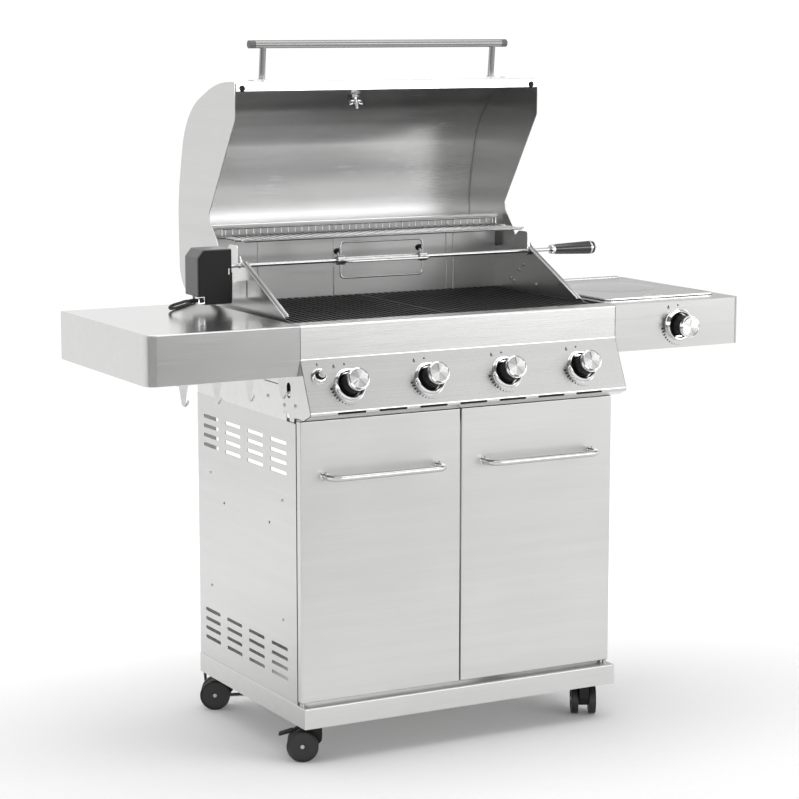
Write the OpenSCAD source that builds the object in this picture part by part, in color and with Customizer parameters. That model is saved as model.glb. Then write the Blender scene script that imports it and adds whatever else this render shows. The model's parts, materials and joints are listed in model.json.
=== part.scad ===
// Free-standing gas barbecue grill: four burners, a side burner, a rotisserie and a two-door cabinet on casters.
// Millimetres, +Z up, +X to the cook's right, +Y to the back. The origin is on the floor under the middle.
// Sub-parts are drawn from the cabinet's front plane (y = 0) and moved once, by in_grill().

/* [Cabinet] */
// Width over the side panels
cab_w = 700; // [620:5:900]
// Depth of the side panels
cab_d = 456; // [440:1:560]
// Height of the side panels above the base
cab_h = 547; // [440:1:700]
// Height of the floor-side edge of the base
base_low = 75; // [75:1:75]
// Height of the folded base tray
base_h = 40; // [30:1:60]
// How far the base stands out in front of the side panels
base_front = 37; // [30:1:60]
// Thickness of the stainless sheet
sheet = 1.2; // [0.8:0.1:2]
// Width of the folded front and back flanges of the side panels
flange_w = 20; // [12:1:30]

/* [Doors] */
// Thickness of the folded door pans
door_t = 15; // [12:1:20]
// Gap between the two doors, and between each door and its neighbours
door_gap = 3; // [2:0.5:6]
// Distance between the two legs of a door handle
handle_span = 248; // [180:1:280]
// Height of the door handles above the base
handle_up = 445; // [200:1:500]
// Diameter of the door handle tube
handle_d = 12; // [8:1:16]
// Clear depth of a door handle, to the middle of its tube
handle_out = 36; // [30:1:50]

/* [Cooking box] */
// Height from the top of the cabinet to the tops of the shelves
cook_h = 189; // [175:1:230]
// Depth of the cooking box, front wall to back wall
box_d = 401; // [380:1:420]
// Gap between the cooking box sides and the cabinet sides
box_inset = 15; // [12:1:25]
// Height of the spit's axis above the shelf tops
spit_up = 85; // [75:1:95]
// Depth of the spit's axis behind the cabinet's front plane
spit_back = 281; // [270:1:290]
// Height of the back wall above the shelf tops
back_up = 154; // [130:1:154]
// Pitch of the grate bars
bar_pitch = 15; // [12:0.5:20]
// Width of a grate bar
bar_w = 6.5; // [5:0.5:8]
// Depth of a grate bar
bar_h = 11; // [8:1:14]

/* [Burners and controls] */
// Distance between neighbouring burners and their knobs
burner_pitch = 172; // [140:1:172]
// Height of the upright band of the control panel
fascia_h = 65; // [50:1:75]
// Lean of the control face from the vertical, in degrees
face_lean = 24; // [10:1:30]
// Length of the control face down its slope
face_len = 110; // [105:1:115]
// Diameter of a knob
knob_d = 44; // [36:1:46]
// Distance from the panel to the face of a knob
knob_out = 42; // [38:1:50]
// Outer diameter of a knob bezel
bezel_d = 65; // [58:1:70]
// Diameter of a valve stem
stem_d = 6; // [5:0.5:8]
// Running clearance round a turning shaft
run_gap = 0.05; // [0.02:0.01:0.08]
// How far a knob is pushed in to turn it
push = 4; // [2:0.5:4]
// Travel of the igniter button
igniter_push = 4; // [2:0.5:5]

/* [Side shelves] */
// Width of a side shelf
shelf_w = 308; // [290:1:400]
// Depth of a side shelf
shelf_d = 437; // [430:1:500]
// Height of a side shelf's skirt
shelf_h = 95; // [85:1:110]
// Radius of a side shelf's front corner
shelf_r = 20; // [14:1:60]
// Width of the side burner's lid
side_lid_w = 270; // [250:1:280]
// Depth of the side burner's lid
side_lid_d = 350; // [300:1:360]

/* [Lid and rotisserie] */
// Angle between the lid's open and closed positions, in degrees
lid_open = 83.7; // [60:0.1:84]
// Distance between the two posts of the lid handle
post_span = 524; // [400:1:560]
// Length of the lid handle's bar
lid_bar_l = 588; // [560:1:620]
// Diameter of the lid handle's bar
lid_bar_d = 16; // [12:1:20]
// How far the lid handle's bar stands out from the lid
lid_bar_out = 71; // [50:1:80]
// Diameter of the spit rod
spit_d = 8; // [6:0.5:10]
// Half the distance across a fork's prongs
fork_r = 38; // [25:1:38]
// Length of a fork's prongs
prong_l = 96; // [60:1:100]

/* [Casters] */
// Diameter of a caster wheel
wheel_d = 62; // [56:1:64]
// Thickness of one of a caster's two wheels
wheel_t = 15; // [10:1:18]
// Thickness of the housing between a caster's wheels
hub_t = 20; // [18:1:24]
// How far the wheels trail behind the swivel
trail = 24; // [18:1:26]

/* [Rotisserie cord] */
// Diameter of the motor's cord
cord_d = 6; // [6:1:6]

/* [Hidden] */
$fn = 48;

origin_back = 228;                      // the cabinet's front plane is this far in front of the origin
free_gap = 0.3;                         // between pieces that move past each other
hw = cab_w / 2;                         // outer face of a side panel
base_top = base_low + base_h;
cab_top = base_top + cab_h;
shelf_top = cab_top + cook_h;
shelf_low = shelf_top - shelf_h;
box_x = hw - box_inset;                 // outer face of a cooking box side
box_front = 20;
box_back = box_front + box_d;
box_low = cab_top + 38;

steel = "#c9cacb";
bright = "#dcdddf";
black = "#1c1c1e";
iron = "#2a2a2b";
dark_grey = "#55565a";

// ---------- shared helpers ----------

module in_grill() translate([0, -origin_back, 0]) children();

function unit(v) = v / norm(v);
function left_of(v) = [-v[1], v[0]];
// The line p moved sideways by t, with mitred corners.
function moved(p, t) = [for (i = [0:len(p) - 1])
    let (a = left_of(unit(p[min(i + 1, len(p) - 1)] - p[min(i, len(p) - 2)])),
         b = left_of(unit(p[max(i, 1)] - p[max(i - 1, 0)])))
    p[i] + (a + b) * t / (1 + a * b)];
function reversed(p) = [for (i = [len(p) - 1:-1:0]) p[i]];
// A line of [y, z, radius] corners with each corner rounded.
function rounded(c, steps = 6) = [for (i = [0:len(c) - 1])
    let (here = [c[i][0], c[i][1]])
    each (i == 0 || i == len(c) - 1 || c[i][2] == 0) ? [here] :
        let (to_last = unit([c[i - 1][0], c[i - 1][1]] - here),
             to_next = unit([c[i + 1][0], c[i + 1][1]] - here),
             half = acos(to_last * to_next) / 2,
             middle = here + unit(to_last + to_next) * c[i][2] / sin(half),
             start = here + to_last * c[i][2] / tan(half) - middle,
             end = here + to_next * c[i][2] / tan(half) - middle,
             sweep = 180 - 2 * half)
        [for (k = [0:steps]) middle + (start * sin(sweep * (1 - k / steps)) + end * sin(sweep * k / steps)) / sin(sweep)]];

// A bent sheet's section, from the line along one of its faces.
module fold(p, t = sheet) polygon(concat(p, reversed(moved(p, t))));
// Stands a [y, z] section up and stretches it along X from x0 to x1.
module along_x(x0, x1) translate([x0, 0, 0]) rotate([90, 0, 90]) linear_extrude(x1 - x0) children();
// Stands an [x, z] section up and stretches it along Y from y0 to y1.
module along_y(y0, y1) translate([0, y1, 0]) rotate([90, 0, 0]) linear_extrude(y1 - y0) children();
module box(x0, x1, y0, y1, z0, z1) translate([x0, y0, z0]) cube([x1 - x0, y1 - y0, z1 - z0]);
module rod_x(x0, x1, d) translate([x0, 0, 0]) rotate([0, 90, 0]) cylinder(h = x1 - x0, d = d);
module both_sides() for (side = [-1, 1]) scale_x(side) children();
module scale_x(side) if (side > 0) children(); else mirror([1, 0, 0]) children();
module slot2d(l, h) {
    square([l - h, h], center = true);
    for (s = [-1, 1]) translate([s * (l - h) / 2, 0]) circle(d = h, $fn = 24);
}

// ---------- cabinet ----------

slot_l = 72;
slot_h = 7.5;
slot_pitch_y = 104.5;
slot_pitch_z = 19.5;
slot_first_y = 76.5;
slot_group_z = [cab_h - 102.5, 41];     // middles of the lowest rows of the upper and lower groups, above the base

module side_panel() {
    along_x(hw - sheet, hw) difference() {
        translate([0, base_top]) square([cab_d, cab_h]);
        for (col = [0:3], row = [0:3], low = [0, 1])
            translate([slot_first_y + col * slot_pitch_y, base_top + slot_group_z[low] + row * slot_pitch_z])
                slot2d(slot_l, slot_h);
    }
    for (y = [0, cab_d - sheet])
        box(hw - flange_w, hw - sheet, y, y + sheet, base_top, cab_top);
    box(hw - flange_w, hw - sheet, sheet, cab_d - sheet, cab_top - sheet, cab_top);
}

module side_panel_left() color(steel) in_grill() scale_x(-1) side_panel();
module side_panel_right() color(steel) in_grill() side_panel();

module base_tray() color(steel) in_grill() {
    difference() {
        box(-hw - 2, hw + 2, -base_front, cab_d, base_low, base_top);
        box(-hw - 2 + sheet, hw + 2 - sheet, -base_front + sheet, cab_d - sheet, base_low - 1, base_top - sheet);
    }
    for (sx = [-1, 1], y = caster_y) {
        translate([sx * caster_x, y, base_low]) linear_extrude(2) square([70, 60], center = true);
        for (s = [-1, 1])
            box(sx * caster_x + s * 34 - 1, sx * caster_x + s * 34 + 1, y - 30, y + 30, base_low, base_top - sheet);
    }
}

rear_panel_h = 90;                      // the closed lower part of the back
rear_rail_h = 48;

module rear_frame() color(steel) in_grill() difference() {
    box(-hw + flange_w / 2, hw - flange_w / 2, cab_d - 2 * sheet, cab_d - sheet, base_top, cab_top - sheet);
    box(-hw + 2 * flange_w, hw - 2 * flange_w, cab_d - 5, cab_d, base_top + rear_panel_h, cab_top - rear_rail_h);
}

module front_rail() color(steel) in_grill() {
    along_x(-hw + flange_w, hw - flange_w)
        fold([[2, cab_top - 22], [2, cab_top - 2], [22, cab_top - 2], [22, cab_top - 12]], -sheet);
    for (x = [-30, 30]) box(x - 14, x + 14, 2 + sheet, 14, cab_top - 20, cab_top - 9);
}

hinge_pin_d = 5;
door_in = 4.5;                          // the door pins stand this far in from the doors' outer edges
door_axis_x = hw - 1 - door_in;
door_back = -2;
door_axis_y = door_back - 8;
door_low = base_top + 6;
door_top = cab_top + 6;
door_edge = hw - 1;
caster_x = hw - 42;
caster_y = [8, cab_d - 38];

// Pins, plates and bolts that the moving pieces are held by, each its own solid.
module mounting_hardware() color(dark_grey) in_grill() {
    for (sx = [-1, 1]) {
        // lid bolts, each through a lid end, with a spacer against the cooking box
        translate([0, hinge_y, hinge_z]) scale_x(sx) {
            rod_x(box_x, lid_end_x - sheet - free_gap, 16);
            rod_x(box_x, lid_end_x + 1, lid_bolt_d);
            rod_x(lid_end_x + free_gap, lid_end_x + 4, 14);
        }
        // door pins: the lower ones stand on the base, the upper ones hang from brackets
        translate([sx * door_axis_x, door_axis_y, 0]) {
            translate([0, 0, base_top]) cylinder(h = 22, d = hinge_pin_d);
            translate([0, 0, base_top]) cylinder(h = door_low - base_top - 1, d = 9);
            translate([0, 0, door_top - 14]) cylinder(h = 17, d = hinge_pin_d);
        }
        scale_x(sx) box(door_axis_x - 9, hw - sheet, door_axis_y - 5, sheet + 8, door_top + 1, door_top + 3);
        // caster plates, and the kingpins that stand in their holes
        for (y = caster_y) translate([sx * caster_x, y, base_low - plate_t]) {
            linear_extrude(plate_t) difference() {
                square([58, 48], center = true);
                circle(d = kingpin_d + 2 * run_gap);
            }
            translate([0, 0, -kingpin_l]) cylinder(h = kingpin_l + plate_t, d = kingpin_d);
        }
    }
}
kingpin_l = 22;

// ---------- doors ----------

module door_pan() {
    inner = door_gap / 2;
    difference() {
        box(inner, door_edge, door_back - door_t, door_back, door_low, door_top);
        box(inner + sheet, door_edge - sheet, door_back - door_t + sheet, door_back + 1,
            door_low + sheet, door_top - sheet);
        translate([door_axis_x, door_axis_y, door_low - 1])
            cylinder(h = door_top - door_low + 2, d = hinge_pin_d + 2 * run_gap);
    }
    // return lips at the back of the pan, with the holes' own bushes
    box(inner + sheet, inner + 14, door_back - sheet, door_back, door_low + sheet, door_top - sheet);
    for (z = [door_low, door_top - 12]) translate([door_axis_x, door_axis_y, z]) difference() {
        cylinder(h = 12, d = hinge_pin_d + 2 * run_gap + 3);
        translate([0, 0, -1]) cylinder(h = 14, d = hinge_pin_d + 2 * run_gap);
    }
}

module door_left() color(steel) in_grill() scale_x(-1) door_pan();
module door_right() color(steel) in_grill() door_pan();

bend_r = 16;
module bar_handle(span, out, d) {
    for (s = [-1, 1]) scale_x(s) {
        translate([span / 2, 0, 0]) rotate([90, 0, 0]) cylinder(h = out - bend_r, d = d);
        translate([span / 2 - bend_r, -(out - bend_r), 0]) rotate([180, 0, 0])
            rotate_extrude(angle = 90) translate([bend_r, 0]) circle(d = d);
    }
    translate([0, -out, 0]) rod_x(-(span / 2 - bend_r), span / 2 - bend_r, d);
}

module door_handle(sx) color(bright) in_grill()
    translate([sx * (door_gap / 2 + door_edge) / 2, door_back - door_t, base_top + handle_up])
        bar_handle(handle_span, handle_out, handle_d);
module door_handle_left() door_handle(-1);
module door_handle_right() door_handle(1);

// ---------- cooking box ----------

spit_z = shelf_top + spit_up;
hinge_y = 372;
hinge_z = shelf_top + 72;
lid_end_x = hw - 7;
lid_bolt_d = 8;
groove_d = spit_d + 3;                  // the spit's grooves, which turn in the notches
notch_d = groove_d + 2 * free_gap;
side_front = 38;                        // front edge of the outer panels over the cabinet's sides
slope_y = [66, spit_back - 15];
slope_z = [shelf_top - 1, spit_z + 7];

module firebox_profile() difference() {
    polygon([[box_front, box_low], [box_front, shelf_top - 5], [slope_y[0], slope_z[0]], [slope_y[1], slope_z[1]],
             [spit_back + 9, shelf_top + 124], [spit_back + 40, shelf_top + 124], [hinge_y, hinge_z + 18],
             [box_back, hinge_z + 12], [box_back, box_low]]);
    translate([spit_back, spit_z]) circle(d = notch_d);
    translate([spit_back - notch_d / 2, spit_z]) square([notch_d, 60]);
}

module firebox_sides() color(bright) in_grill() both_sides() {
    along_x(box_x - sheet, box_x) firebox_profile();
    // rolled edge along the slope
    along_x(box_x - 11, box_x - sheet) fold([slope_p(0.06), slope_p(1)], -sheet);
    // outer panel that stands on the cabinet side
    box(box_x, hw, box_front, box_back, box_low, box_low + sheet);
    box(hw - sheet, hw, side_front, cab_d - 1, cab_top, shelf_low + 4);
}
function slope_p(k) = [slope_y[0] + k * (slope_y[1] - slope_y[0]), slope_z[0] + k * (slope_z[1] - slope_z[0])];

inner_x = box_x - sheet;
ledge_z = shelf_top - 2 - bar_h - 5;
module firebox_rear() color(bright) in_grill() along_x(-inner_x, inner_x) {
    fold([[box_back - 15, shelf_top + back_up - 6], [box_back - 15, shelf_top + back_up],
          [box_back, shelf_top + back_up], [box_back, box_low]], -sheet);
    fold([[box_back - sheet, ledge_z], [box_back - 14, ledge_z]], sheet);
}

burner_z = shelf_top - 86;
burner_x = [for (i = [0:3]) (i - 1.5) * burner_pitch];
module firebox_front() color(steel) in_grill() difference() {
    along_x(-inner_x, inner_x) {
        fold([[box_front, box_low], [box_front, shelf_top - 6]], -sheet);
        fold([[box_front + sheet, ledge_z], [box_front + 14, ledge_z]], -sheet);
    }
    for (x = burner_x) translate([x, box_front + 20, burner_z]) rotate([90, 0, 0]) cylinder(h = 40, d = 24);
}

tray_w = 580;
tray_low = cab_top + 8;
tray_h = 20;
rail_x = tray_w / 2 + 2;
floor_top = box_low + 35;
module firebox_floor() color(steel) in_grill() {
    difference() {
        along_x(-inner_x, inner_x)
            fold([[box_front + sheet + 1, floor_top + 8], [box_front + sheet + 1, floor_top],
                  [box_front + 170, box_low + 3], [box_back - 170, box_low + 3],
                  [box_back - sheet - 1, floor_top], [box_back - sheet - 1, floor_top + 8]], sheet);
        translate([0, (box_front + box_back) / 2, box_low]) cylinder(h = 10, d = 40);
    }
    both_sides() {
        box(rail_x, rail_x + sheet, box_front + 175, box_back - 175, tray_low - sheet, box_low + 3.2);
        box(rail_x, rail_x + sheet, box_front + 40, box_back, tray_low - sheet, box_low);
        box(rail_x - 12, rail_x, box_front + 40, box_back, tray_low - sheet, tray_low);
    }
}

module grease_tray() color(steel) in_grill() {
    difference() {
        box(-tray_w / 2, tray_w / 2, box_front + 30, box_back + 5, tray_low + free_gap, tray_low + tray_h);
        box(-tray_w / 2 + sheet, tray_w / 2 - sheet, box_front + 30 + sheet, box_back + 5 - sheet,
            tray_low + free_gap + sheet, tray_low + tray_h + 1);
    }
    // finger lip at the back
    along_x(-60, 60) fold([[box_back + 5, tray_low + tray_h], [box_back + 25, tray_low + tray_h],
                           [box_back + 25, tray_low + 8]], -sheet);
}

tube_d = 30;
module burner_tubes() color(steel) in_grill() for (x = burner_x) translate([x, 0, burner_z]) rotate([-90, 0, 0])
    difference() {
        union() {
            translate([0, 0, 8]) cylinder(h = box_front + 24, d = 20);
            translate([0, 0, box_front + 24]) cylinder(h = box_d - 34, d = tube_d);
        }
        translate([0, 0, 0]) cylinder(h = box_front + 40, d = 17);
        translate([0, 0, box_front + 26]) cylinder(h = box_d - 38, d = tube_d - 2.4);
    }

tamer_w = 100;
module flame_tamers() color(steel) in_grill() for (x = burner_x) along_y(box_front + 3, box_back - 3)
    fold([[x - tamer_w / 2, burner_z + 22], [x - tamer_w / 2 + 12, burner_z + 22], [x, burner_z + 50],
          [x + tamer_w / 2 - 12, burner_z + 22], [x + tamer_w / 2, burner_z + 22]], sheet);

grate_gap = 2;
grate_y0 = box_front + sheet + 2;
grate_y1 = box_back - sheet - 2;
grate_z = shelf_top - 2;                // top of the cooking bars
grate_w = inner_x - 2 - grate_gap / 2;
bar_count = floor((grate_w - bar_w) / bar_pitch);
bar_step = (grate_w - bar_w) / bar_count;
module grate() {
    for (i = [0:bar_count])
        box(grate_gap / 2 + i * bar_step, grate_gap / 2 + i * bar_step + bar_w, grate_y0, grate_y1, grate_z - bar_h, grate_z);
    for (y = [grate_y0, (grate_y0 + grate_y1) / 2 - 4, grate_y1 - 8])
        box(grate_gap / 2, grate_gap / 2 + grate_w, y, y + 8, grate_z - bar_h - 4, grate_z - 1);
}
module grates() color(iron) in_grill() both_sides() grate();

rack_front = spit_back + 6;
rack_back = box_back - 28;
rack_z = shelf_top + 130;
rack_half = inner_x - 14;
rack_wire = 3;
rack_rail = 5;
rack_rise = 20;
rack_count = 40;
function rack_wire_x(i) = (i / rack_count - 0.5) * 2 * (rack_half - 8);
module warming_rack() color(bright) in_grill() {
    translate([0, 0, rack_z]) linear_extrude(rack_wire) {
        for (y = [rack_front, (rack_front + rack_back) / 2])
            translate([-rack_half, y - rack_rail / 2]) square([2 * rack_half, rack_rail]);
        for (i = [0:rack_count])
            translate([rack_wire_x(i) - rack_wire / 2, rack_front]) square([rack_wire, rack_back - rack_front]);
        // ends that rest on the cooking box sides
        for (y = [rack_front + 16, rack_back - 16]) translate([-inner_x, y]) square([2 * inner_x, rack_rail]);
        for (s = [-1, 1]) translate([s * (rack_half - rack_rail / 2) - rack_rail / 2, rack_front])
            square([rack_rail, rack_back - rack_front]);
    }
    // upstand at the back
    along_y(rack_back, rack_back + rack_wire) {
        for (i = [0:rack_count])
            translate([rack_wire_x(i) - rack_wire / 2, rack_z]) square([rack_wire, rack_rise]);
        translate([-rack_half, rack_z + rack_rise - rack_rail]) square([2 * rack_half, rack_rail]);
    }
}

// ---------- control panel, valves and knobs ----------

fascia_y = -24;
fascia_low = shelf_top - fascia_h;
face_low_y = fascia_y - face_len * sin(face_lean);
face_low_z = fascia_low - face_len * cos(face_lean);
panel_end = hw + sheet + 0.1;
lip_y = face_low_y + 28;
lip_z = face_low_z - 12;
panel_line = [[box_front - 2, shelf_top], [fascia_y, shelf_top], [fascia_y, fascia_low],
              [face_low_y, face_low_z], [lip_y, lip_z]];
dial_s = 54;                            // middle of a dial, down the slope
igniter_s = 33;
igniter_x = -hw + 31;
side_dial = [hw + 156, fascia_y, shelf_low + 46];
plate_back = 50;                        // back edge of the panel's end plates
feed_hole_d = 14;
feed_z = shelf_top - 61;

// Places its children on the control face: +Z out of the face, +Y up its slope.
module on_face(x, s) translate([x, fascia_y - s * sin(face_lean), fascia_low - s * cos(face_lean)])
    rotate([90 - face_lean, 0, 0]) children();
module at_dial(i) if (i < 5) on_face(burner_x[i - 1], dial_s) children();
    else translate(side_dial) rotate([90, 0, 0]) children();

module control_panel() color(bright) in_grill() {
    difference() {
        along_x(-panel_end, panel_end) fold(panel_line, sheet);
        for (i = [1:4]) at_dial(i) translate([0, 0, -4]) cylinder(h = 8, d = 14);
        on_face(igniter_x, igniter_s) translate([0, 0, -4]) cylinder(h = 8, d = 13);
        // vent slots in the bottom lip
        for (x = [-264:88:264]) translate([x, (face_low_y + lip_y) / 2, (face_low_z + lip_z) / 2])
            rotate([-atan(12 / 28), 0, 0]) translate([0, 0, -3]) linear_extrude(6) slot2d(60, 5);
    }
    both_sides() along_x(panel_end - sheet, panel_end) difference() {
        polygon(concat([for (p = moved(panel_line, 0.02)) p], [[2, lip_z], [4, cab_top + 2], [plate_back, cab_top + 2],
                [plate_back, shelf_low], [box_front - 2, shelf_low]]));
        translate([plate_back - 11, cab_top + 2]) circle(r = 17);
        translate([plate_back - 24, shelf_low - 33]) rotate(90) slot2d(30, 17);
        translate([9, feed_z]) circle(d = feed_hole_d);
        translate([0, lip_z + 24]) circle(d = 5);
    }
}

module knob_bezels() color(bright) in_grill() {
    for (i = [1:5]) at_dial(i) rotate_extrude()
        polygon([[7, 0], [bezel_d / 2, 0], [bezel_d / 2, 2], [bezel_d / 2 - 2.5, 6.5], [bezel_d / 2 - 5, 8],
                 [bezel_d / 2 - 7.5, 7], [bezel_d / 2 - 8.5, 3], [7, 3]]);
    on_face(igniter_x, igniter_s) rotate_extrude()
        polygon([[igniter_d / 2 + free_gap, 0], [15, 0], [15, 2], [13, 8], [11.5, 9], [igniter_d / 2 + free_gap, 8]]);
}

igniter_d = 17;
module igniter_button() color(bright) in_grill() on_face(igniter_x, igniter_s) {
    translate([0, 0, igniter_push]) cylinder(h = 17 - igniter_push, d = igniter_d);
    translate([0, 0, 17]) cylinder(h = 1.5, d1 = igniter_d, d2 = igniter_d - 3);
    translate([0, 0, -16]) cylinder(h = 22, d = 8);
}

stem_in = 24;                           // length of a stem inside the panel
stem_top = knob_out - 12;
module valve_stem(i) color("#b8a46a") in_grill() at_dial(i)
    translate([0, 0, -stem_in]) cylinder(h = stem_in + stem_top, d = stem_d);

knob_low = 9.5;
knob_turned = [128, 0, 0, 0, 0];        // how far each knob stands turned from its OFF mark, anticlockwise
module knob(i) color(black) in_grill() at_dial(i) rotate(knob_turned[i - 1]) difference() {
    union() {
        translate([0, 0, knob_low]) cylinder(h = knob_out - knob_low - 9, d = knob_d - 3);
        translate([0, 0, knob_out - 9]) cylinder(h = 8, d = knob_d);
        translate([0, 0, knob_out - 1]) cylinder(h = 1, d1 = knob_d, d2 = knob_d - 2);
        translate([-0.8, 4, knob_out]) cube([1.6, knob_d / 2 - 7, 0.6]);
    }
    translate([0, 0, knob_low - 1]) cylinder(h = stem_top - knob_low + 1.5, d = stem_d + 2 * run_gap);
}

manifold_z = cab_top + 48;
manifold_y = 4;
inlet_x = hw - 32;
inlet_z = box_low - 12;
module gas_manifold() color("#b8a46a") in_grill() {
    // valve bodies, each bored for its stem
    for (i = [1:5]) at_dial(i) difference() {
        translate([0, 0, -52]) linear_extrude(52 - 12) square([24, 24], center = true);
        translate([0, 0, -stem_in - push - 1]) cylinder(h = 40, d = stem_d + 2 * run_gap);
    }
    // the manifold runs through the backs of the four main valves
    translate([0, manifold_y, manifold_z]) rod_x(-burner_x[3] - 20, inlet_x, 18);
    // risers and jets into the burner mouths
    for (x = burner_x) translate([x, manifold_y, manifold_z]) {
        cylinder(h = burner_z - manifold_z, d = 8);
        translate([0, 0, burner_z - manifold_z]) rotate([-90, 0, 0]) cylinder(h = 9, d = 8);
        translate([0, 0, burner_z - manifold_z]) sphere(d = 8);
    }
    // supply pipe to the back of the cabinet, with its threaded end
    translate([inlet_x, manifold_y, manifold_z]) sphere(d = 18);
    translate([inlet_x, manifold_y, inlet_z]) cylinder(h = manifold_z - inlet_z, d = 12);
    translate([inlet_x, manifold_y, inlet_z]) sphere(d = 12);
    translate([inlet_x, manifold_y, inlet_z]) rotate([-90, 0, 0]) {
        cylinder(h = cab_d + 10 - manifold_y, d = 12);
        translate([0, 0, cab_d + 2 - manifold_y]) cylinder(h = 10, d = 25, $fn = 6);
        translate([0, 0, cab_d + 12 - manifold_y]) cylinder(h = inlet_l, d = inlet_d);
    }
    // feed pipe to the side burner's valve
    translate([burner_x[3] + 30, 9, 0]) {
        translate([0, 0, manifold_z]) cylinder(h = feed_z - manifold_z, d = 8);
        translate([0, 0, feed_z]) sphere(d = 8);
    }
    translate([0, 9, feed_z]) rod_x(burner_x[3] + 30, side_dial[0], 8);
    translate([side_dial[0], 9, feed_z]) cylinder(h = 8, d = 8);
}
inlet_d = 16;
inlet_l = 18;

// ---------- side shelves ----------

module shelf_outline(in) {
    r = shelf_r - in;
    x0 = in;
    x1 = shelf_w - in;
    y0 = in;
    y1 = shelf_d - in;
    translate([x0, y0]) square([x1 - r - x0, y1 - y0]);
    translate([x0, y0 + r]) square([x1 - x0, y1 - y0 - r]);
    translate([x1 - r, y0 + r]) circle(r = r);
}

module shelf() translate([panel_end, fascia_y, 0]) {
    translate([0, 0, shelf_low]) linear_extrude(shelf_h - sheet) difference() {
        shelf_outline(0);
        shelf_outline(sheet);
    }
    translate([0, 0, shelf_top - sheet]) linear_extrude(sheet) shelf_outline(0);
    // return lip along the bottom
    translate([0, 0, shelf_low]) linear_extrude(sheet) difference() {
        shelf_outline(0);
        shelf_outline(12);
    }
}

module shelf_left() color(steel) in_grill() scale_x(-1) shelf();

pan_r = 104;
pan_x = hw + 156;
pan_y = 215;
module shelf_right() color(steel) in_grill() difference() {
    shelf();
    translate([pan_x, pan_y, shelf_top - 20]) cylinder(h = 40, r = pan_r + 1);
    translate(side_dial) rotate([90, 0, 0]) translate([0, 0, -5]) cylinder(h = 8, d = 14);
    translate([0, 9, feed_z]) rod_x(hw - 5, hw + 12, feed_hole_d);
}

hook_pitch = 66.5;
hook_x = -hw - 38;
hook_drop = 40;
module hook() difference() {
    union() {
        polygon([[-9, 0], [9, 0], [4, -hook_drop + 14], [4, -hook_drop + 8], [-5, -hook_drop + 8]]);
        translate([3, -hook_drop + 8]) circle(r = 8, $fn = 32);
    }
    translate([4, -hook_drop + 9]) circle(r = 3.4, $fn = 24);
    translate([4, -hook_drop + 9]) square([12, 12]);
}
module tool_hooks() color(steel) in_grill() {
    along_y(fascia_y + sheet, fascia_y + 2 * sheet) for (i = [0:3]) translate([hook_x - i * hook_pitch, shelf_low]) hook();
    box(hook_x - 3 * hook_pitch - 14, hook_x + 14, fascia_y + sheet, fascia_y + 14, shelf_low - sheet, shelf_low);
}

module side_burner() color(iron) in_grill() translate([pan_x, pan_y, 0]) {
    // drip pan hanging in the shelf's hole
    rotate_extrude() fold([[12, shelf_top - 46], [pan_r - 26, shelf_top - 46], [pan_r - 6, shelf_top - 12],
                           [pan_r - 1, shelf_top - 2]], sheet);
    rotate_extrude() polygon([[pan_r - 3.2, shelf_top - 3.5], [pan_r - 1, shelf_top - 3.5], [pan_r - 1, shelf_top],
                              [pan_r + 3, shelf_top], [pan_r + 3, shelf_top + 0.8], [pan_r - 3.2, shelf_top + 0.8]]);
    // burner head
    translate([0, 0, shelf_top - 56]) difference() {
        cylinder(h = 34, r1 = 11, r2 = 34);
        translate([0, 0, -1]) cylinder(h = 12, r = 5);
    }
    translate([0, 0, shelf_top - 22]) cylinder(h = 7, r = 36);
    // pot support
    for (a = [45:90:315]) rotate(a) box(30, pan_r - 4, -2.5, 2.5, shelf_top - 14, shelf_top - 3);
}

side_lid_x0 = pan_x - side_lid_w / 2;
side_lid_y1 = pan_y + side_lid_d / 2;
side_axis_z = shelf_top + 4;
side_pin_d = 6;
lid_rise = 1.4;                         // gap between the shelf and the side burner's lid
module side_burner_lid() color(bright) in_grill() {
    difference() {
        box(side_lid_x0, side_lid_x0 + side_lid_w, side_lid_y1 - side_lid_d, side_lid_y1,
            shelf_top + lid_rise, shelf_top + lid_rise + sheet + 1);
        translate([pan_x, side_lid_y1 - side_lid_d + 22, shelf_top - 1]) linear_extrude(8) slot2d(56, 14);
    }
    translate([0, side_lid_y1, side_axis_z]) rod_x(side_lid_x0 + 10, side_lid_x0 + side_lid_w - 10, side_pin_d);
}

// ---------- rotisserie ----------

motor_x0 = -hw - 90;
motor_w = 73;
motor_y0 = spit_back - 41;
motor_d = 65;
motor_z0 = shelf_top + 15;
motor_h = 108;
spit_end = hw + 37;
gland = [motor_x0 + 15, motor_y0 + 22, motor_z0 + 8];
gland_l = 24;

module rotisserie_motor() color(black) in_grill() {
    difference() {
        along_y(motor_y0, motor_y0 + motor_d) polygon([
            [motor_x0, motor_z0 + 17], [motor_x0 + 15, motor_z0 + 17], [motor_x0 + 15, motor_z0],
            [motor_x0 + motor_w, motor_z0], [motor_x0 + motor_w, motor_z0 + motor_h],
            [motor_x0 + 13, motor_z0 + motor_h], [motor_x0, motor_z0 + motor_h - 16]]);
        translate([0, spit_back, spit_z]) rod_x(motor_x0 + motor_w - 20, motor_x0 + motor_w + 2, spit_d + 2 * run_gap);
    }
    // strain relief
    translate(gland) rotate([0, -90, 0]) cylinder(h = gland_l, d1 = 12, d2 = cord_d + 2.4);
}

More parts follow.
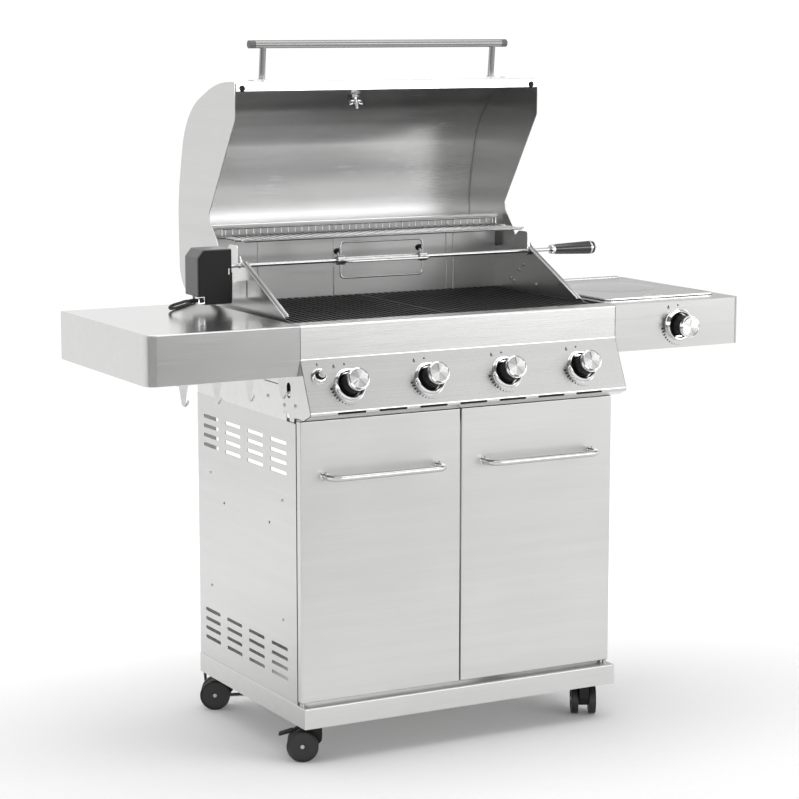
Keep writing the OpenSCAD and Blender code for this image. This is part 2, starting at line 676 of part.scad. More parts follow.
bracket_y0 = motor_y0 + 2;
module motor_bracket() color(steel) in_grill() {
    // plate on the cooking box side, stood off by an arm that passes under the lid's edge
    box(motor_x0 + motor_w, motor_x0 + motor_w + 2, bracket_y0, spit_back - 12, motor_z0 + 8, motor_z0 + 62);
    box(motor_x0 + motor_w, -box_x, bracket_y0 + 2, bracket_y0 + 4, motor_z0 + 10, motor_z0 + 44);
    box(-box_x - 2, -box_x, bracket_y0 + 2, spit_back - 12, motor_z0 + 10, motor_z0 + 44);
}

module spit_rod() color(bright) in_grill() translate([0, spit_back, spit_z]) {
    rod_x(motor_x0 + motor_w - 16, spit_end, spit_d);
    for (s = [-1, 1]) scale_x(s) {
        rod_x(box_x - sheet - 7, box_x - sheet - 2, 18);
        rod_x(box_x - sheet - 2, box_x + 3, groove_d);
    }
    rod_x(box_x + 3, box_x + 10, 18);
}

fork_at = [-110, 78];
module fork() {
    difference() {
        union() {
            rod_x(-9, 9, 18);
            for (a = [0, 90]) rotate([a, 0, 0]) box(-2, 2, -2, 2, -fork_r, fork_r);
            for (a = [0:90:270]) rotate([a, 0, 0]) translate([-2, 0, fork_r - 2]) {
                rod_x(0, prong_l, 4);
                translate([prong_l, 0, 0]) rotate([0, 90, 0]) cylinder(h = 8, d1 = 4, d2 = 1);
            }
        }
        rod_x(-20, 20, spit_d);
    }
    // clamp screw
    rotate([-40, 0, 0]) translate([0, 0, 8]) {
        cylinder(h = 14, d = 5);
        translate([0, 0, 12]) cylinder(h = 6, d = 14);
    }
}
module spit_forks() color(bright) in_grill() translate([0, spit_back, spit_z]) {
    translate([fork_at[0], 0, 0]) fork();
    translate([fork_at[1], 0, 0]) mirror([1, 0, 0]) fork();
}

grip_l = 118;
module spit_handle() color(black) in_grill() translate([spit_end, spit_back, spit_z]) rotate([0, 90, 0]) {
    cylinder(h = 10, d = 20);
    translate([0, 0, 10]) cylinder(h = grip_l - 24, d1 = 20, d2 = 28);
    translate([0, 0, grip_l - 14]) cylinder(h = 8, d1 = 28, d2 = 24);
    translate([0, 0, grip_l - 6]) cylinder(h = 4, d = 12);
}

// ---------- lid, drawn closed and then swung open ----------

module swung_open() translate([0, hinge_y, hinge_z]) rotate([-lid_open, 0, 0]) translate([0, -hinge_y, -hinge_z]) children();

lid_front_z = shelf_top + 11;                // front edge of the closed lid
lid_corners = [[-8, lid_front_z, 0], [-1, shelf_top + 87, 300], [82, shelf_top + 243, 150],
               [265, shelf_top + 266, 400], [445, shelf_top + 241, 60], [457, shelf_top + 124, 0]];
lid_line = rounded(lid_corners);
lip = [[9, lid_front_z - 2], [-8, lid_front_z]];

gauge_stem_d = 9;
module at_gauge() translate([0, lid_corners[1][0] + (gauge_z - lid_corners[1][1]) * tan(face_back), gauge_z])
    rotate([90 - face_back, 0, 0]) children();

module lid_skin() color(bright) in_grill() swung_open() difference() {
    along_x(-lid_end_x + sheet, lid_end_x - sheet) fold(concat([lip[0]], lid_line), -sheet);
    at_gauge() translate([0, 0, -6]) cylinder(h = 12, d = gauge_stem_d);
}

module lid_end() difference() {
    polygon(concat(lid_line, [[453, shelf_top + 110], [420, hinge_z - 14], [hinge_y + 20, hinge_z - 26],
        [hinge_y - 26, hinge_z - 26], [316, shelf_top + 68], [284, shelf_top + 104], [268, shelf_top + 110],
        [65, shelf_top + 4], lip[0]]));
    translate([hinge_y, hinge_z]) circle(d = lid_bolt_d + 2 * run_gap);
}
module lid_ends() color(bright) in_grill() swung_open() both_sides() along_x(lid_end_x - sheet, lid_end_x) lid_end();

lid_bar_z = shelf_top + 63;
module lid_handle() color(dark_grey) in_grill() swung_open() translate([0, -5, lid_bar_z]) {
    both_sides() translate([post_span / 2, 0, 0]) rotate([90, 0, 0]) cylinder(h = lid_bar_out - 5, d = 13);
    translate([0, -lid_bar_out + 1, 0]) rod_x(-lid_bar_l / 2, lid_bar_l / 2, lid_bar_d);
}

gauge_z = shelf_top + 167;
face_back = atan((lid_corners[2][0] - lid_corners[1][0]) / (lid_corners[2][1] - lid_corners[1][1]));
module thermometer() color(bright) in_grill() swung_open() at_gauge() {
    difference() {
        cylinder(h = 14, d = 62);
        translate([0, 0, 12]) cylinder(h = 4, d = 54);
    }
    translate([0, 0, -18]) cylinder(h = 18, d = gauge_stem_d);
    translate([0, 0, -14]) cylinder(h = 8, d = 20, $fn = 6);
}

// ---------- casters ----------

plate_t = 2.5;
kingpin_d = 10;
axle_z = wheel_d / 2;
axle_d = 8;
caster_turn = [61.6, -28.4, 61.6, -28.4];   // direction of each axle, anticlockwise from +X
module at_caster(i) translate([(i % 2 == 1 ? -1 : 1) * caster_x, caster_y[i < 3 ? 0 : 1], 0])
    rotate(caster_turn[i - 1]) children();
// The axle lies along X, and the wheels trail towards +Y.
module on_axle() translate([0, trail, axle_z]) children();

module caster(i) color(black) in_grill() at_caster(i) difference() {
    union() {
        along_x(-hub_t / 2, hub_t / 2) {
            translate([trail, axle_z]) circle(r = wheel_d / 2 - 5);
            polygon([[-13, axle_z + 10], [-13, base_low - plate_t - 3], [12, base_low - plate_t - 3],
                     [trail + 20, axle_z + 22], [trail, axle_z]]);
        }
        translate([0, 0, base_low - plate_t - 8]) cylinder(h = 8 - free_gap, d = 30);
    }
    translate([0, 0, base_low - plate_t - kingpin_l - 2]) cylinder(h = kingpin_l + 18, d = kingpin_d + 2 * run_gap);
}

module wheels(i) color("#141415") in_grill() at_caster(i) on_axle() both_sides()
    rod_x(hub_t / 2 + free_gap, hub_t / 2 + free_gap + wheel_t, wheel_d);

module brake_lever(i) color(black) in_grill() at_caster(i) on_axle() along_x(-hub_t / 2 + 2, hub_t / 2 - 2)
    polygon([[18, wheel_d / 2 - 6], [46, wheel_d / 2 - 14], [47, wheel_d / 2 - 10], [20, wheel_d / 2 - 1]]);

// ---------- the motor's cord ----------

coil_at = [-190, 512];
coil_mean_d = 66;
// Points along the cord, from the strain relief over the shelf's back edge to the coil behind the cabinet.
cord_route = [
    [-449.2, 262, 874], [-458, 262, 874], [-468, 265, 871], [-476, 273, 867.5], [-479, 285, 863], [-476, 298, 858.5],
    [-467, 311, 855.3], [-452, 326, 854.2], [-432, 346, 854.1], [-410, 370, 854.1], [-390, 394, 854.1],
    [-375, 411, 854.3], [-366, 422, 852.5], [-357, 433, 847], [-350, 444, 836], [-344, 456, 817], [-337, 469, 788],
    [-330, 482, 748], [-325, 492, 690], [-322, 498, 560], [-322, 500, 400], [-322, 500, 240], [-322, 500, 110],
    [-321, 501, 50], [-315, 502, 22], [-301, 502, 8], [-283, 498, 3.6], [-260, 489, 3.2], [-237, 481.5, 3.2],
    [-215.5, 478.6, 3.2]
];

function along_cord(k) = let (i = min(floor(k), len(cord_route) - 2), f = k - i,
        a = cord_route[max(i - 1, 0)], b = cord_route[i], c = cord_route[i + 1],
        d = cord_route[min(i + 2, len(cord_route) - 1)])
    b + f * (c - a) / 2 + f * f * (a - 2.5 * b + 2 * c - d / 2) + f * f * f * (-a + 3 * b - 3 * c + d) / 2;
cord_rings = 3 * (len(cord_route) - 1);
cord_sides = 8;
cord_points = [for (k = [0:cord_rings]) along_cord(k / 3)];
function cord_ring(k) = let (ahead = unit(cord_points[min(k + 1, cord_rings)] - cord_points[max(k - 1, 0)]),
        side = unit(cross(ahead, abs(ahead[2]) > 0.9 ? [1, 0, 0] : [0, 0, 1])), up = cross(side, ahead))
    [for (a = [0:cord_sides - 1]) cord_points[k]
        + cord_d / 2 * (side * cos(360 * a / cord_sides) + up * sin(360 * a / cord_sides))];

module motor_cord() color(black) in_grill() polyhedron(
    points = [for (k = [0:cord_rings]) each cord_ring(k)],
    faces = concat(
        [[for (a = [0:cord_sides - 1]) a]],
        [[for (a = [cord_sides - 1:-1:0]) cord_rings * cord_sides + a]],
        [for (k = [0:cord_rings - 1], a = [0:cord_sides - 1])
            let (n = (a + 1) % cord_sides, p = k * cord_sides, q = p + cord_sides) [p + a, q + a, q + n, p + n]]));

module cord_coil() color(black) in_grill() translate([coil_at[0], coil_at[1], 0]) rotate_extrude()
    translate([coil_mean_d / 2 - cord_d, 0]) square([2 * cord_d, 2 * cord_d]);

plug_at = [coil_at[0] + 36, coil_at[1] - coil_mean_d / 2 - 9, 0];
module cord_plug() color(black) in_grill() translate(plug_at) {
    box(0, 34, 0, 24, 0, 18);
    for (y = [5.5, 18.5]) box(34, 50, y - 0.8, y + 0.8, 6, 12);
}

// ---------- one sub-part at a time ----------

base_tray();
side_panel_left();
side_panel_right();
rear_frame();
front_rail();
mounting_hardware();
firebox_sides();
firebox_rear();
firebox_front();
firebox_floor();
grease_tray();
burner_tubes();
flame_tamers();
gas_manifold();
grates();
warming_rack();
control_panel();
knob_bezels();
igniter_button();
for (i = [1:5]) valve_stem(i);
for (i = [1:5]) knob(i);
shelf_left();
shelf_right();
tool_hooks();
side_burner();
side_burner_lid();
spit_rod();
spit_forks();
spit_handle();
rotisserie_motor();
motor_bracket();
lid_skin();
lid_ends();
lid_handle();
thermometer();
door_left();
door_right();
door_handle_left();
door_handle_right();
for (i = [1:4]) caster(i);
for (i = [1:4]) wheels(i);
for (i = [1:2]) brake_lever(i);
motor_cord();
cord_coil();
cord_plug();
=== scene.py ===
import json
import math

import bmesh
import bpy
from mathutils import Matrix, Vector


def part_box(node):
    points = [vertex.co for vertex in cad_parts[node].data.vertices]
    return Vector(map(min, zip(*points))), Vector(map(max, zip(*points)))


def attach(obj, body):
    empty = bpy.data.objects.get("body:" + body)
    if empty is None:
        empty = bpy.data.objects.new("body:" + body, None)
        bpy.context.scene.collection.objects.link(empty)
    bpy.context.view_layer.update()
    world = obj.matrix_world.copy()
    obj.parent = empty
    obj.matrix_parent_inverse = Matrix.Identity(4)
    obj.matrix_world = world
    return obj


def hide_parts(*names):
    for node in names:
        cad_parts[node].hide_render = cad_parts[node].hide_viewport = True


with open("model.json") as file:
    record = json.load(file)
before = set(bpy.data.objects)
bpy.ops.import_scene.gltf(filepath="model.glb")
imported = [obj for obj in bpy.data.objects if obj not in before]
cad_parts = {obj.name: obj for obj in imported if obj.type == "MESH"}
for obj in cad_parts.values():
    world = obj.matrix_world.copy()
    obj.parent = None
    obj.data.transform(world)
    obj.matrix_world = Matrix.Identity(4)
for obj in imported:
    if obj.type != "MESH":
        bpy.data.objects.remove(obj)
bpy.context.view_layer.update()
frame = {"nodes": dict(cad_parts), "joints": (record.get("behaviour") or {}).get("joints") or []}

# The gas grill's finishes and detailed pieces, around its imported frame.
# Shapes are drawn in millimetres in the row frame, and Piece.make() scales them to metres.

MM = 0.001
SHEET = 1.2


def box(node):
    """Lowest and highest corner of a CAD node, in millimetres."""
    low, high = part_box(node)
    return low / MM, high / MM


def middle(node):
    low, high = box(node)
    return (low + high) / 2


SIDE_LOW, SIDE_HIGH = box("side_panel_right")
FRONT = SIDE_LOW.y                      # the cabinet's front plane
HALF = SIDE_HIGH.x                      # half the cabinet's width
SHELF_TOP = box("shelf_left")[1].z
CAB_TOP = SIDE_LOW.z + 547
LEFT, RIGHT = -1, 1


def hinge_of(joint):
    """A joint's point on its axis, in millimetres."""
    found = next(j for j in frame["joints"] if j["name"] == joint)
    return Vector(found["pos_m"]) / MM


# ---------- camera, stage and light ----------

def make_camera():
    camera = bpy.data.objects.new("camera", bpy.data.cameras.new("camera"))
    bpy.context.scene.collection.objects.link(camera)
    camera.location = (-2.3343, -4.2934, 1.4147)
    camera.rotation_euler = (math.radians(80.879), 0, math.radians(-28.441))
    camera.data.sensor_width = 36
    camera.data.lens = 109.59
    camera.data.shift_x = 0.003
    camera.data.shift_y = 0.013
    bpy.context.scene.camera = camera


make_camera()


# ---------- finishes ----------

class Value:
    """A shader number. Python's operators on it add Math nodes."""

    def __init__(self, finish, socket):
        self.finish = finish
        self.socket = socket

    def math(self, operation, *numbers):
        return self.finish.node("ShaderNodeMath", {"operation": operation}, dict(enumerate(numbers)))

    def __add__(self, other):
        return self.math("ADD", self, other)

    def __sub__(self, other):
        return self.math("SUBTRACT", self, other)

    def __rsub__(self, other):
        return self.math("SUBTRACT", other, self)

    def __mul__(self, other):
        return self.math("MULTIPLY", self, other)

    def __truediv__(self, other):
        return self.math("DIVIDE", self, other)

    def __rtruediv__(self, other):
        return self.math("DIVIDE", other, self)

    __radd__ = __add__
    __rmul__ = __mul__


class Shading:
    """A node tree under construction."""

    def __init__(self, tree):
        self.tree = tree

    def node(self, kind, settings, inputs, output=0):
        """Adds a node: its settings come first, then each input takes a number or a link."""
        made = self.tree.nodes.new(kind)
        for key, value in settings.items():
            setattr(made, key, value)
        for key, value in inputs.items():
            if isinstance(value, Value):
                self.tree.links.new(value.socket, made.inputs[key])
            else:
                made.inputs[key].default_value = value
        return Value(self, made.outputs[output])

    def span(self, value, low, high):
        """Rises smoothly from 0 at low to 1 at high."""
        return self.node("ShaderNodeMapRange", {"interpolation_type": "SMOOTHSTEP"},
                         {0: value, 1: low, 2: high})


class Finish(Shading):
    """A material under construction."""

    def __init__(self, name, **settings):
        self.material = bpy.data.materials.new(name)
        self.material.use_nodes = True
        super().__init__(self.material.node_tree)
        self.shader = self.tree.nodes["Principled BSDF"]
        for socket, value in settings.items():
            self.shader.inputs[socket.replace("_", " ")].default_value = value

    def place(self, scale, shift=(0, 0, 0), turn=(0, 0, 0)):
        """Object coordinates, moved, turned and scaled."""
        at = self.node("ShaderNodeTexCoord", {}, {}, "Object")
        return self.node("ShaderNodeMapping", {},
                         {"Vector": at, "Location": shift, "Rotation": turn, "Scale": scale})

    def noise(self, scale, detail=3, **where):
        """Cloudy noise from 0 to 1; scale is in lumps per metre along X, Y and Z."""
        return self.node("ShaderNodeTexNoise", {},
                         {"Vector": self.place(scale, **where), "Scale": 1.0, "Detail": detail})

    def blend(self, share, first, second):
        """The first colour where share is 0, the second where it is 1."""
        return self.node("ShaderNodeMix", {"data_type": "RGBA"},
                         {0: share, 6: (*first, 1), 7: (*second, 1)}, 2)

    def feed(self, socket, value):
        self.tree.links.new(value.socket, self.shader.inputs[socket])

    def bump(self, height, depth, strength=1.0):
        made = self.node("ShaderNodeBump", {}, {"Height": height, "Distance": depth, "Strength": strength})
        self.feed("Normal", made)


def brushed(name, along, tone=0.62, rough=0.3, streak=0.1, depth=0.000012):
    """Stainless sheet, brushed along one axis, with faint handling marks."""
    finish = Finish(name, Metallic=1.0)
    grain = finish.noise([9 if axis == along else 620 for axis in "xyz"], 4)
    band = finish.noise([1.5 if axis == along else 55 for axis in "xyz"], 2)
    marks = finish.noise((6, 6, 6), 3)
    mix = grain * 0.45 + band * 0.35 + marks * 0.2
    finish.feed("Base Color", finish.blend(mix, [tone * k for k in (0.88, 0.88, 0.875)],
                                           [min(tone * k, 0.95) for k in (1.12, 1.115, 1.105)]))
    finish.feed("Roughness", rough - streak / 2 + grain * streak * 0.6 + marks * streak * 0.4)
    finish.bump(grain, depth)
    return finish.material


def polished(name, tone=0.72, rough=0.12):
    """Polished stainless or chrome, with a slight wave and wiped marks."""
    finish = Finish(name, Metallic=1.0)
    wave = finish.noise((7, 7, 7), 2)
    wiped = finish.noise((30, 160, 60), 4)
    finish.feed("Base Color", finish.blend(wiped, [tone * 0.92] * 3, [min(tone * 1.06, 0.97)] * 3))
    finish.feed("Roughness", rough * 0.6 + wiped * rough * 0.8)
    finish.bump(wave, 0.0004, 0.5)
    return finish.material


def enamel(name, dark, light, rough, lumps, depth, metallic=0.0, coat=0.0, shine=0.5):
    """A paint, enamel or moulded plastic with a fine skin."""
    finish = Finish(name, Metallic=metallic, Coat_Weight=coat, Specular_IOR_Level=shine)
    skin = finish.noise((lumps,) * 3, 5)
    worn = finish.noise((14, 14, 14), 3)
    finish.feed("Base Color", finish.blend(worn * 0.7 + skin * 0.3, dark, light))
    finish.feed("Roughness", rough - 0.1 + worn * 0.2)
    finish.bump(skin, depth)
    return finish.material


def cable_sheath(name):
    """Black rubbery sheath with fine moulding rings."""
    finish = Finish(name)
    skin = finish.noise((900, 900, 900), 2)
    dust = finish.noise((25, 25, 25), 3)
    finish.feed("Base Color", finish.blend(dust, (0.012, 0.012, 0.013), (0.03, 0.03, 0.031)))
    finish.feed("Roughness", 0.38 + skin * 0.2)
    finish.bump(skin, 0.00005)
    return finish.material


def spun(name, centre, lean):
    """A spun metal disc: fine rings, and bright and dark wedges painted into its colour as painted highlights for
    the light that the rings catch.
    """
    finish = Finish(name, Metallic=1.0)
    turn = Matrix.Rotation(-lean, 4, "X").to_euler()
    flat = finish.place((1, 1, 1), Matrix.Rotation(-lean, 4, "X") @ -centre, turn)
    across = finish.node("ShaderNodeSeparateXYZ", {}, {0: flat}, 0)
    up = finish.node("ShaderNodeSeparateXYZ", {}, {0: flat}, 1)
    radius = across.math("SQRT", across * across + up * up)
    angle = across.math("ARCTAN2", up, across)
    # painted highlight: bright and dark wedges, and finer streaks, painted into the base colour by angle round the
    # centre
    painted_highlight_wedge = angle.math("SINE", angle * 2 + 0.6) * 0.5 + 0.5
    fine = angle.math("SINE", angle * 9 + 1.0) * 0.5 + 0.5
    ring = radius.math("SINE", radius * 9000)
    finish.feed("Base Color",
                finish.blend(painted_highlight_wedge * 0.8 + fine * 0.2, (0.46, 0.46, 0.46), (0.93, 0.93, 0.92)))
    finish.feed("Roughness", 0.2 + painted_highlight_wedge * 0.14)
    finish.bump(ring, 0.00002, 0.6)
    return finish.material


SHEET_X = brushed("steel_brushed_across", "x")
SHEET_Y = brushed("steel_brushed_deep", "y", tone=0.6)
PANEL = brushed("control_panel_steel", "x", tone=0.64, rough=0.27)
SHELF = brushed("shelf_steel", "x", tone=0.64, rough=0.2, streak=0.06)
LINER = brushed("lid_inner_steel", "x", tone=0.88, rough=0.26)
BOX = brushed("cooking_box_steel", "x", tone=0.68, rough=0.24, streak=0.06)
WALL = brushed("back_wall_steel", "x", tone=0.3, rough=0.3)
BAR = brushed("lid_bar_steel", "x", tone=0.26, rough=0.26, streak=0.06)
POST = polished("lid_post_steel", 0.34, 0.14)
TUBE = brushed("handle_steel", "x", tone=0.6, rough=0.24, streak=0.06)
CHROME = polished("chrome", 0.8, 0.07)
WIRE = polished("plated_wire", 0.56, 0.24)
BOLT = polished("zinc_bolts", 0.5, 0.3)
DARK_STEEL = brushed("heat_stained_steel", "y", tone=0.3, rough=0.45)
IRON = enamel("grate_enamel", (0.005, 0.005, 0.006), (0.016, 0.016, 0.016), 0.45, 420, 0.00025, shine=0.35)
BURNER_IRON = enamel("burner_casting", (0.02, 0.02, 0.02), (0.05, 0.048, 0.046), 0.6, 500, 0.0003)
BLACK = enamel("moulded_black", (0.004, 0.004, 0.0045), (0.009, 0.009, 0.0095), 0.5, 1500, 0.00004,
               shine=0.25)
MOTOR_GREY = enamel("motor_case_side", (0.07, 0.07, 0.072), (0.12, 0.12, 0.123), 0.36, 1500, 0.00004)
GRIP = enamel("grip_lacquer", (0.004, 0.004, 0.004), (0.012, 0.012, 0.012), 0.2, 60, 0.00006, coat=0.6)
TYRE = enamel("wheel_nylon", (0.007, 0.007, 0.007), (0.018, 0.018, 0.018), 0.5, 900, 0.00006)
BRASS = enamel("valve_brass", (0.45, 0.33, 0.14), (0.62, 0.48, 0.24), 0.35, 700, 0.00004, metallic=1.0)
INK = enamel("dial_print", (0.006, 0.006, 0.006), (0.015, 0.015, 0.015), 0.5, 800, 0.00001)
DIAL_WHITE = enamel("gauge_face", (0.75, 0.75, 0.74), (0.85, 0.85, 0.84), 0.4, 900, 0.00001)
# painted shade: a flat black put on holes, slots, windows and grooves where only shade shows
SHADOW = enamel("painted_shade_black", (0.002, 0.002, 0.002), (0.004, 0.004, 0.004), 0.9, 300, 0.00001)
SHEATH = cable_sheath("cord_sheath")


# ---------- shapes: each returns a bmesh in millimetres ----------

ON_FRONT = Matrix(((1, 0, 0, 0), (0, 0, -1, 0), (0, 1, 0, 0),
                   (0, 0, 0, 1)))   # drawn XY stands in XZ, +Z to -Y
ON_SIDE = Matrix(((0, 0, 1, 0), (1, 0, 0, 0), (0, 1, 0, 0),
                  (0, 0, 0, 1)))     # drawn XY stands in YZ, +Z to +X
UPSIDE = Matrix.Rotation(math.pi, 4, "X")


def at(x, y, z):
    return Matrix.Translation((x, y, z))


def turned(degrees, axis):
    return Matrix.Rotation(math.radians(degrees), 4, axis)


def put(shape, matrix):
    bmesh.ops.transform(shape, matrix=matrix, verts=shape.verts[:])
    if matrix.to_3x3().determinant() < 0:
        bmesh.ops.reverse_faces(shape, faces=shape.faces[:])
    return shape


def join(shape, *others):
    for other in others:
        mesh = bpy.data.meshes.new("joining")
        other.to_mesh(mesh)
        other.free()
        shape.from_mesh(mesh)
        bpy.data.meshes.remove(mesh)
    return shape


def soften(shape, size, edges=None, steps=2):
    chosen = shape.edges[:] if edges is None else edges
    bmesh.ops.bevel(shape, geom=chosen, offset=size, segments=steps, profile=0.5, affect="EDGES",
                    material=-1,
                    clamp_overlap=True)
    return shape


def outline(corners, radius=0.0, steps=5):
    """A flat face on XY. Radius is one number, or one for each corner."""
    shape = bmesh.new()
    verts = [shape.verts.new((x, y, 0)) for x, y in corners]
    shape.faces.new(verts)
    radii = list(radius) if hasattr(radius, "__len__") else [radius] * len(verts)
    for size in sorted(set(radii) - {0}):
        bmesh.ops.bevel(shape, geom=[v for v, r in zip(verts, radii) if r == size], offset=size,
                        segments=steps,
                        profile=0.5, affect="VERTICES", material=-1)
    return shape


def rectangle(x0, x1, y0, y1, radius=0.0, steps=5):
    return outline([(x0, y0), (x1, y0), (x1, y1), (x0, y1)], radius, steps)


def disc(x, y, radius, steps=24):
    shape = bmesh.new()
    bmesh.ops.create_circle(shape, cap_ends=True, radius=radius, segments=steps)
    return put(shape, at(x, y, 0))


def slot(x, y, length, height):
    return rectangle(x - length / 2, x + length / 2, y - height / 2, y + height / 2, height * 0.499, 5)


def cut(shape, *holes):
    """A flat face with the holes' outlines cut out."""
    join(shape, *holes)
    bmesh.ops.delete(shape, geom=shape.faces[:], context="FACES_ONLY")
    bmesh.ops.triangle_fill(shape, use_beauty=True, edges=shape.edges[:], normal=(0, 0, 1))
    return shape


def raise_up(shape, height):
    """A flat shape made solid, from z = 0 to the height."""
    made = bmesh.ops.extrude_face_region(shape, geom=shape.faces[:])
    top = [v for v in made["geom"] if isinstance(v, bmesh.types.BMVert)]
    bmesh.ops.translate(shape, verts=top, vec=(0, 0, height))
    bmesh.ops.recalc_face_normals(shape, faces=shape.faces[:])
    return shape


def block(low, high, bevel=0.0, steps=2):
    shape = bmesh.new()
    bmesh.ops.create_cube(shape, size=1)
    low, high = Vector(low), Vector(high)
    put(shape, Matrix.Translation((low + high) / 2) @ Matrix.Diagonal((*(high - low), 1)))
    return soften(shape, bevel, steps=steps) if bevel else shape


def hollow_box(low, high, open_way, bevel, wall=SHEET):
    """A folded sheet box without the face that looks along open_way."""
    shape = block(low, high)
    gone = [f for f in shape.faces if f.normal.dot(Vector(open_way)) > 0.9]
    bmesh.ops.delete(shape, geom=gone, context="FACES")
    soften(shape, bevel, [e for e in shape.edges if len(e.link_faces) == 2], 3)
    bmesh.ops.solidify(shape, geom=shape.faces[:], thickness=wall)
    return shape


def lathe(profile, steps=32):
    """A line of (radius, height) turned round +Z."""
    shape = bmesh.new()
    verts = [shape.verts.new((radius, 0, height)) for radius, height in profile]
    edges = [shape.edges.new(pair) for pair in zip(verts, verts[1:])]
    bmesh.ops.spin(shape, geom=verts + edges, cent=(0, 0, 0), axis=(0, 0, 1), angle=math.tau, steps=steps,
                   use_merge=True)
    bmesh.ops.remove_doubles(shape, verts=shape.verts[:], dist=0.001)
    bmesh.ops.recalc_face_normals(shape, faces=shape.faces[:])
    return shape


def rod(start, end, size, steps=20, bevel=0.0):
    shape = bmesh.new()
    start, end = Vector(start), Vector(end)
    bmesh.ops.create_cone(shape, cap_ends=True, segments=steps, radius1=size / 2, radius2=size / 2,
                          depth=(end - start).length)
    if bevel:
        soften(shape, bevel, [e for e in shape.edges if e.calc_face_angle(0) > 1])
    return put(shape,
               Matrix.Translation((start + end) / 2) @ (end - start).to_track_quat("Z",
                   "Y").to_matrix().to_4x4())


def rounded(points, radius, steps=5, closed=False):
    """A path with its corners rounded as arcs. Radius is one number, or one for each point."""
    points = [Vector(p) for p in points]
    radii = list(radius) if hasattr(radius, "__len__") else [radius] * len(points)
    path = []
    for i, here in enumerate(points):
        if radii[i] == 0 or (not closed and i in (0, len(points) - 1)):
            path.append(here)
            continue
        back = (points[i - 1] - here).normalized()
        ahead = (points[(i + 1) % len(points)] - here).normalized()
        half = back.angle(ahead) / 2
        centre = here + (back + ahead).normalized() * radii[i] / math.sin(half)
        start = here + back * radii[i] / math.tan(half) - centre
        end = here + ahead * radii[i] / math.tan(half) - centre
        path += [centre + start.slerp(end, k / steps) * radii[i] for k in range(steps + 1)]
    return path


def wire(points, size, bend=0.0, closed=False, steps=5, sides=2):
    """A round wire or tube along a path, with rounded bends."""
    curve = bpy.data.curves.new("wire", "CURVE")
    curve.dimensions = "3D"
    curve.bevel_depth = size / 2
    curve.bevel_resolution = sides
    curve.use_fill_caps = True
    path = rounded(points, bend, steps, closed) if bend else [Vector(p) for p in points]
    spline = curve.splines.new("POLY")
    spline.points.add(len(path) - 1)
    for point, place in zip(spline.points, path):
        point.co = (*place, 1)
    spline.use_cyclic_u = closed
    holder = bpy.data.objects.new("wire", curve)
    mesh = bpy.data.meshes.new_from_object(holder)
    shape = bmesh.new()
    shape.from_mesh(mesh)
    bpy.data.objects.remove(holder)
    bpy.data.curves.remove(curve)
    bpy.data.meshes.remove(mesh)
    bmesh.ops.remove_doubles(shape, verts=shape.verts[:], dist=0.001)
    bmesh.ops.recalc_face_normals(shape, faces=shape.faces[:])
    return shape


def folded(line, width, wall=SHEET):
    """A sheet bent along a line of (u, v) points, stretched along +Z; the wall goes to the line's left."""
    points = [Vector((p[0], p[1])) for p in line]
    inner = []
    for i, here in enumerate(points):
        after = (points[min(i + 1, len(points) - 1)] - points[min(i, len(points) - 2)]).normalized()
        before = (points[max(i, 1)] - points[max(i - 1, 0)]).normalized()
        side = Vector((-after.y - before.y, after.x + before.x))
        inner.append(here + side * wall / (1 + after.dot(before)))
    shape = bmesh.new()
    shape.faces.new([shape.verts.new((*p, 0)) for p in points + inner[::-1]])
    return raise_up(shape, width)


def screw(size=9.0, recess=True):
    """A pan head screw, its foot on z = 0."""
    r = size / 2
    middle_part = [(0, r * 0.28), (r * 0.34, r * 0.28), (r * 0.36, r * 0.62)] if recess else [(0, r * 0.66)]
    return lathe([*middle_part, (r * 0.6, r * 0.58), (r * 0.88, r * 0.34), (r, 0.1), (r, 0), (0, 0)], 16)


def hex_nut(size, height):
    shape = bmesh.new()
    bmesh.ops.create_cone(shape, cap_ends=True, segments=6, radius1=size / 2, radius2=size / 2,
                          depth=height)
    put(shape, at(0, 0, height / 2))
    return soften(shape, size * 0.04)


def facing(x, y, z, way):
    """The place of something whose foot is at a point and whose head looks along way."""
    return at(x, y, z) @ Vector(way).to_track_quat("Z", "Y").to_matrix().to_4x4()


# ---------- pieces ----------

class Piece:
    """One visible piece, built of shapes that each have a finish, riding on one body."""

    def __init__(self, name, body, slot_name, *stands_for):
        self.name, self.body, self.slot_name, self.stands_for = name, body, slot_name, stands_for
        self.shape = bmesh.new()
        self.finishes = []

    def add(self, shape, finish):
        if finish not in self.finishes:
            self.finishes.append(finish)
        for face in shape.faces:
            face.material_index = self.finishes.index(finish)
        join(self.shape, shape)
        return self

    def make(self, crease=35):
        for face in self.shape.faces:
            face.smooth = True
        for edge in self.shape.edges:
            edge.smooth = edge.is_manifold and edge.calc_face_angle(0) < math.radians(crease)
        put(self.shape, Matrix.Scale(MM, 4))
        mesh = bpy.data.meshes.new(self.name)
        self.shape.to_mesh(mesh)
        self.shape.free()
        for finish in self.finishes:
            mesh.materials.append(finish)
        thing = bpy.data.objects.new(self.name, mesh)
        bpy.context.scene.collection.objects.link(thing)
        even = thing.modifiers.new("even_shading", "WEIGHTED_NORMAL")
        even.keep_sharp = True
        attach(thing, self.body)
        if self.stands_for:
            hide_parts(*self.stands_for)
        return thing


# ---------- the motor's cord ----------

CORD_D = 6.0
COIL_TURNS = 3
TURN_STEPS = 16
PLUG_LOW, PLUG_HIGH = box("cord_plug")
COIL_LOW, COIL_HIGH = box("cord_coil")

